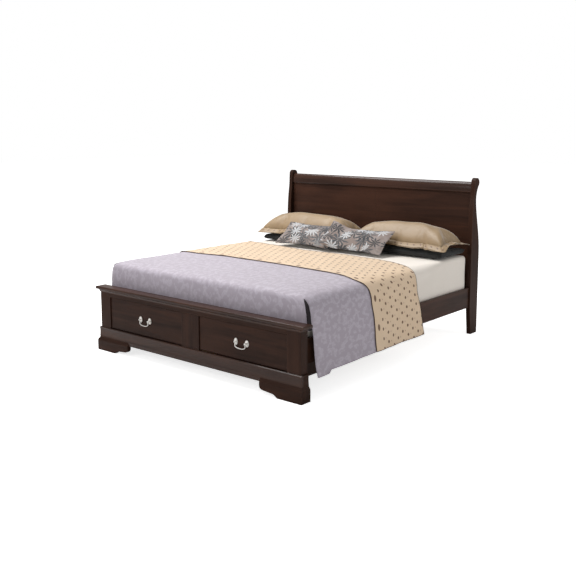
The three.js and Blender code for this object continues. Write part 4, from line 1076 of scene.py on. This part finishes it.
# ---- Floral cushions -------------------------------------------------------------------------------
# Two lumbar cushions in printed cotton with bursting leaves lean on the shams. Each is a knife-edged
# case, tightly filled, and the right one lies a little over the end of the left one.
TAUPE = (0.215, 0.172, 0.154)
TAUPE_PALE = (0.290, 0.250, 0.235)
LEAF_GREY = (0.055, 0.060, 0.068)
LEAF_CHARCOAL = (0.014, 0.016, 0.020)
LEAF_WHITE = (0.46, 0.47, 0.48)
CUSHION_TALL, CUSHION_THICK = 0.290, 0.090
CUSHION_FULLNESS = 0.85
CUSHION_OVERLAP = 0.05
OVERLAP_LIFT = 0.062
LEAN = math.radians(37)


def leaf_print():
    """Printed leaves: each cell of a scattered grid holds a burst of thin leaves, drawn by a wave of
    the angle round the cell's middle that narrows with distance, in white, grey and charcoal."""
    material, shader = new_material("floral_print")
    place = cloth_coordinates(shader)
    shifted = warped(place, place, (0.030, 0.030, 0))
    tone = blended(ranged(noise(place, 11, 3, 0.6), 0.38, 0.62, 0.0, 0.7), TAUPE, TAUPE_PALE)
    for size, petals, offset, dark, pale in ((6.4, 9, 0.0, LEAF_CHARCOAL, LEAF_GREY),
                                             (5.0, 11, 0.37, LEAF_GREY, LEAF_CHARCOAL),
                                             (8.4, 9, 0.71, LEAF_CHARCOAL, LEAF_WHITE)):
        moved = mapped(shifted, shift=(offset, offset * 1.7, 0))
        cell = added(shader.id_data, "TexVoronoi", {"Vector": moved, "Scale": size},
                     voronoi_dimensions="2D").outputs
        away = added(shader.id_data, "VectorMath", {0: moved, 1: cell["Position"]}, operation="SUBTRACT")
        a, b = split_xy(away.outputs[0])
        leaf = maths("ABSOLUTE", maths("SINE", times(maths("ARCTAN2", b, a), petals / 2)))
        narrowing = ranged(cell["Distance"], 0.02, 0.60, 0.30, 1.0)
        blade = ranged(maths("SUBTRACT", leaf, narrowing), -0.03, 0.05)
        ink = blended(ranged(cell["Color"], 0.50, 0.62), dark, pale)
        shown = times(blade, ranged(cell["Color"], 0.25, 0.4))
        tone = blended(times(shown, 0.95), tone, ink)
        tone = blended(times(times(ranged(leaf, 0.93, 0.99), shown), 0.10), tone, LEAF_WHITE)
    slub = noise(mapped(place, scale=(30, 400, 1)), 1.0, 2, 0.6)
    fed(shader, {"Base Color": tone, "Roughness": ranged(slub, 0.2, 0.8, 0.72, 0.84),
                 "Sheen Weight": 0.15, "Sheen Roughness": 0.5, "Specular IOR Level": 0.25})
    bumped(shader, plus(times(weave(place, 0.0014), 0.4), slub), 0.0004, 0.6)
    return material


floral_print = leaf_print()
lean_up = np.array((0, math.cos(LEAN), math.sin(LEAN)))
lean_out = np.array((0, -math.sin(LEAN), math.cos(LEAN)))
for side, mirror, more_left, more_right, lift in (("left", -1, 0, CUSHION_OVERLAP, 0),
                                                  ("right", 1, CUSHION_OVERLAP, 0, OVERLAP_LIFT)):
    low, high = box_of(f"floral_cushion_{side}")
    width = high[0] - low[0] + more_left + more_right
    points, faces, rim = sewn_case(width + 0.05, CUSHION_TALL + 0.05, 0.0095, 0.010)
    end = filled(f"floral_cushion_{side}", points, faces, pressure=5.0)
    x, y, share = fitted_form(end, points, rim, width, CUSHION_TALL, drawn=0.22)
    rise = np.sign(share) * np.abs(share) ** CUSHION_FULLNESS * CUSHION_THICK / 2
    toe = np.array([(low[0] - more_left + high[0] + more_right) / 2,
                    low[1] + CUSHION_THICK / 2 * math.sin(LEAN), low[2] + 0.004])
    twist = lift * eased((0.12 - (x + width / 2)) / 0.16 + 0.25)
    out = rise + twist + CUSHION_THICK / 2 * 0.55
    up = y + CUSHION_TALL / 2
    place = toe + x[:, None] * (1, 0, 0) + up[:, None] * lean_up + out[:, None] * lean_out
    on_cloth = points[:, :2] + (0.9 * mirror, 0.3 * mirror)
    mesh = cloth_mesh(f"cushion_case_{side}", place, faces, cloth=on_cloth)
    padded_piece(f"cushion_case_{side}", mesh, floral_print, f"floral_cushion_{side}")

# ---- Floor, light and camera ---------------------------------------------------------------------
# A pale studio floor, broad soft lights and a camera at standing height off the right-hand foot.
HALF_FLOOR = 30.0
FLOOR_GREY, FLOOR_PALE = (0.86, 0.86, 0.86), (0.88, 0.88, 0.88)
CAMERA_PLACE = (4.161, -5.0665, 1.742)
CAMERA_YAW = 39.996
CAMERA_PITCH = 7.826
CAMERA_LENS = 51.675
CAMERA_RISE = -0.0868
floor_mesh = bpy.data.meshes.new("studio_floor")
floor_mesh.from_pydata([(HALF_FLOOR * x, HALF_FLOOR * y, 0) for x, y in ((-1, -1), (1, -1), (1, 1), (-1, 1))],
                       [], [(0, 1, 2, 3)])
studio_floor = bpy.data.objects.new("studio_floor", floor_mesh)
scene.collection.objects.link(studio_floor)


def seen_by_camera(tree, elsewhere, seen):
    """One number for what the camera sees straight, and another for all other light."""
    return ranged(added(tree, "LightPath", {}).outputs["Is Camera Ray"], 0, 1, elsewhere, seen)


floor_paint, floor_shader = new_material("studio_floor")
floor_mottle = noise(object_place(floor_shader), 1.5, 2)
fed(floor_shader, {"Base Color": ramp(floor_mottle, (0.3, FLOOR_GREY), (0.7, FLOOR_PALE)), "Roughness": 0.9,
                   "Emission Color": (1.0, 1.0, 1.0, 1),
                   "Emission Strength": seen_by_camera(floor_shader.id_data, 0.0, 0.75)})
floor_mesh.materials.append(floor_paint)


def softbox(name, place, aim, size, power):
    """A rectangular area light at a place, turned to face its aim."""
    lamp = bpy.data.lights.new(name, "AREA")
    lamp.shape = "RECTANGLE"
    lamp.size, lamp.size_y = size
    lamp.energy = power
    holder = bpy.data.objects.new(name, lamp)
    holder.location = place
    direction = np.subtract(aim, place)
    yaw = math.atan2(direction[0], -direction[1])
    tilt = math.atan2(math.hypot(direction[0], direction[1]), -direction[2])
    holder.rotation_euler = (tilt, 0, yaw + math.pi)
    scene.collection.objects.link(holder)


softbox("key_softbox", (-1.7, -0.5, 4.7), (0.0, -0.1, 0.5), (3.0, 2.6), 260)
softbox("side_fill", (5.5, 2.4, 3.0), (0.8, 0.9, 0.5), (2.0, 2.0), 62)
softbox("foot_fill", (-0.8, -5.2, 2.6), (0.0, -1.1, 0.5), (3.0, 1.6), 50)

world = bpy.data.worlds.new("studio")
world.use_nodes = True
fed(world.node_tree.nodes["Background"], {"Color": (1.0, 1.0, 1.0, 1),
                                          "Strength": seen_by_camera(world.node_tree, 0.44, 1.0)})
scene.world = world
scene.view_settings.view_transform = "Standard"
scene.view_settings.look = "None"

view_camera = bpy.data.cameras.new("view_camera")
view_camera.lens = CAMERA_LENS
view_camera.shift_y = CAMERA_RISE
view_camera.clip_end = 100
camera_object = bpy.data.objects.new("view_camera", view_camera)
camera_object.location = CAMERA_PLACE
camera_object.rotation_euler = (math.radians(90 - CAMERA_PITCH), 0, math.radians(CAMERA_YAW))
scene.collection.objects.link(camera_object)
scene.camera = camera_object
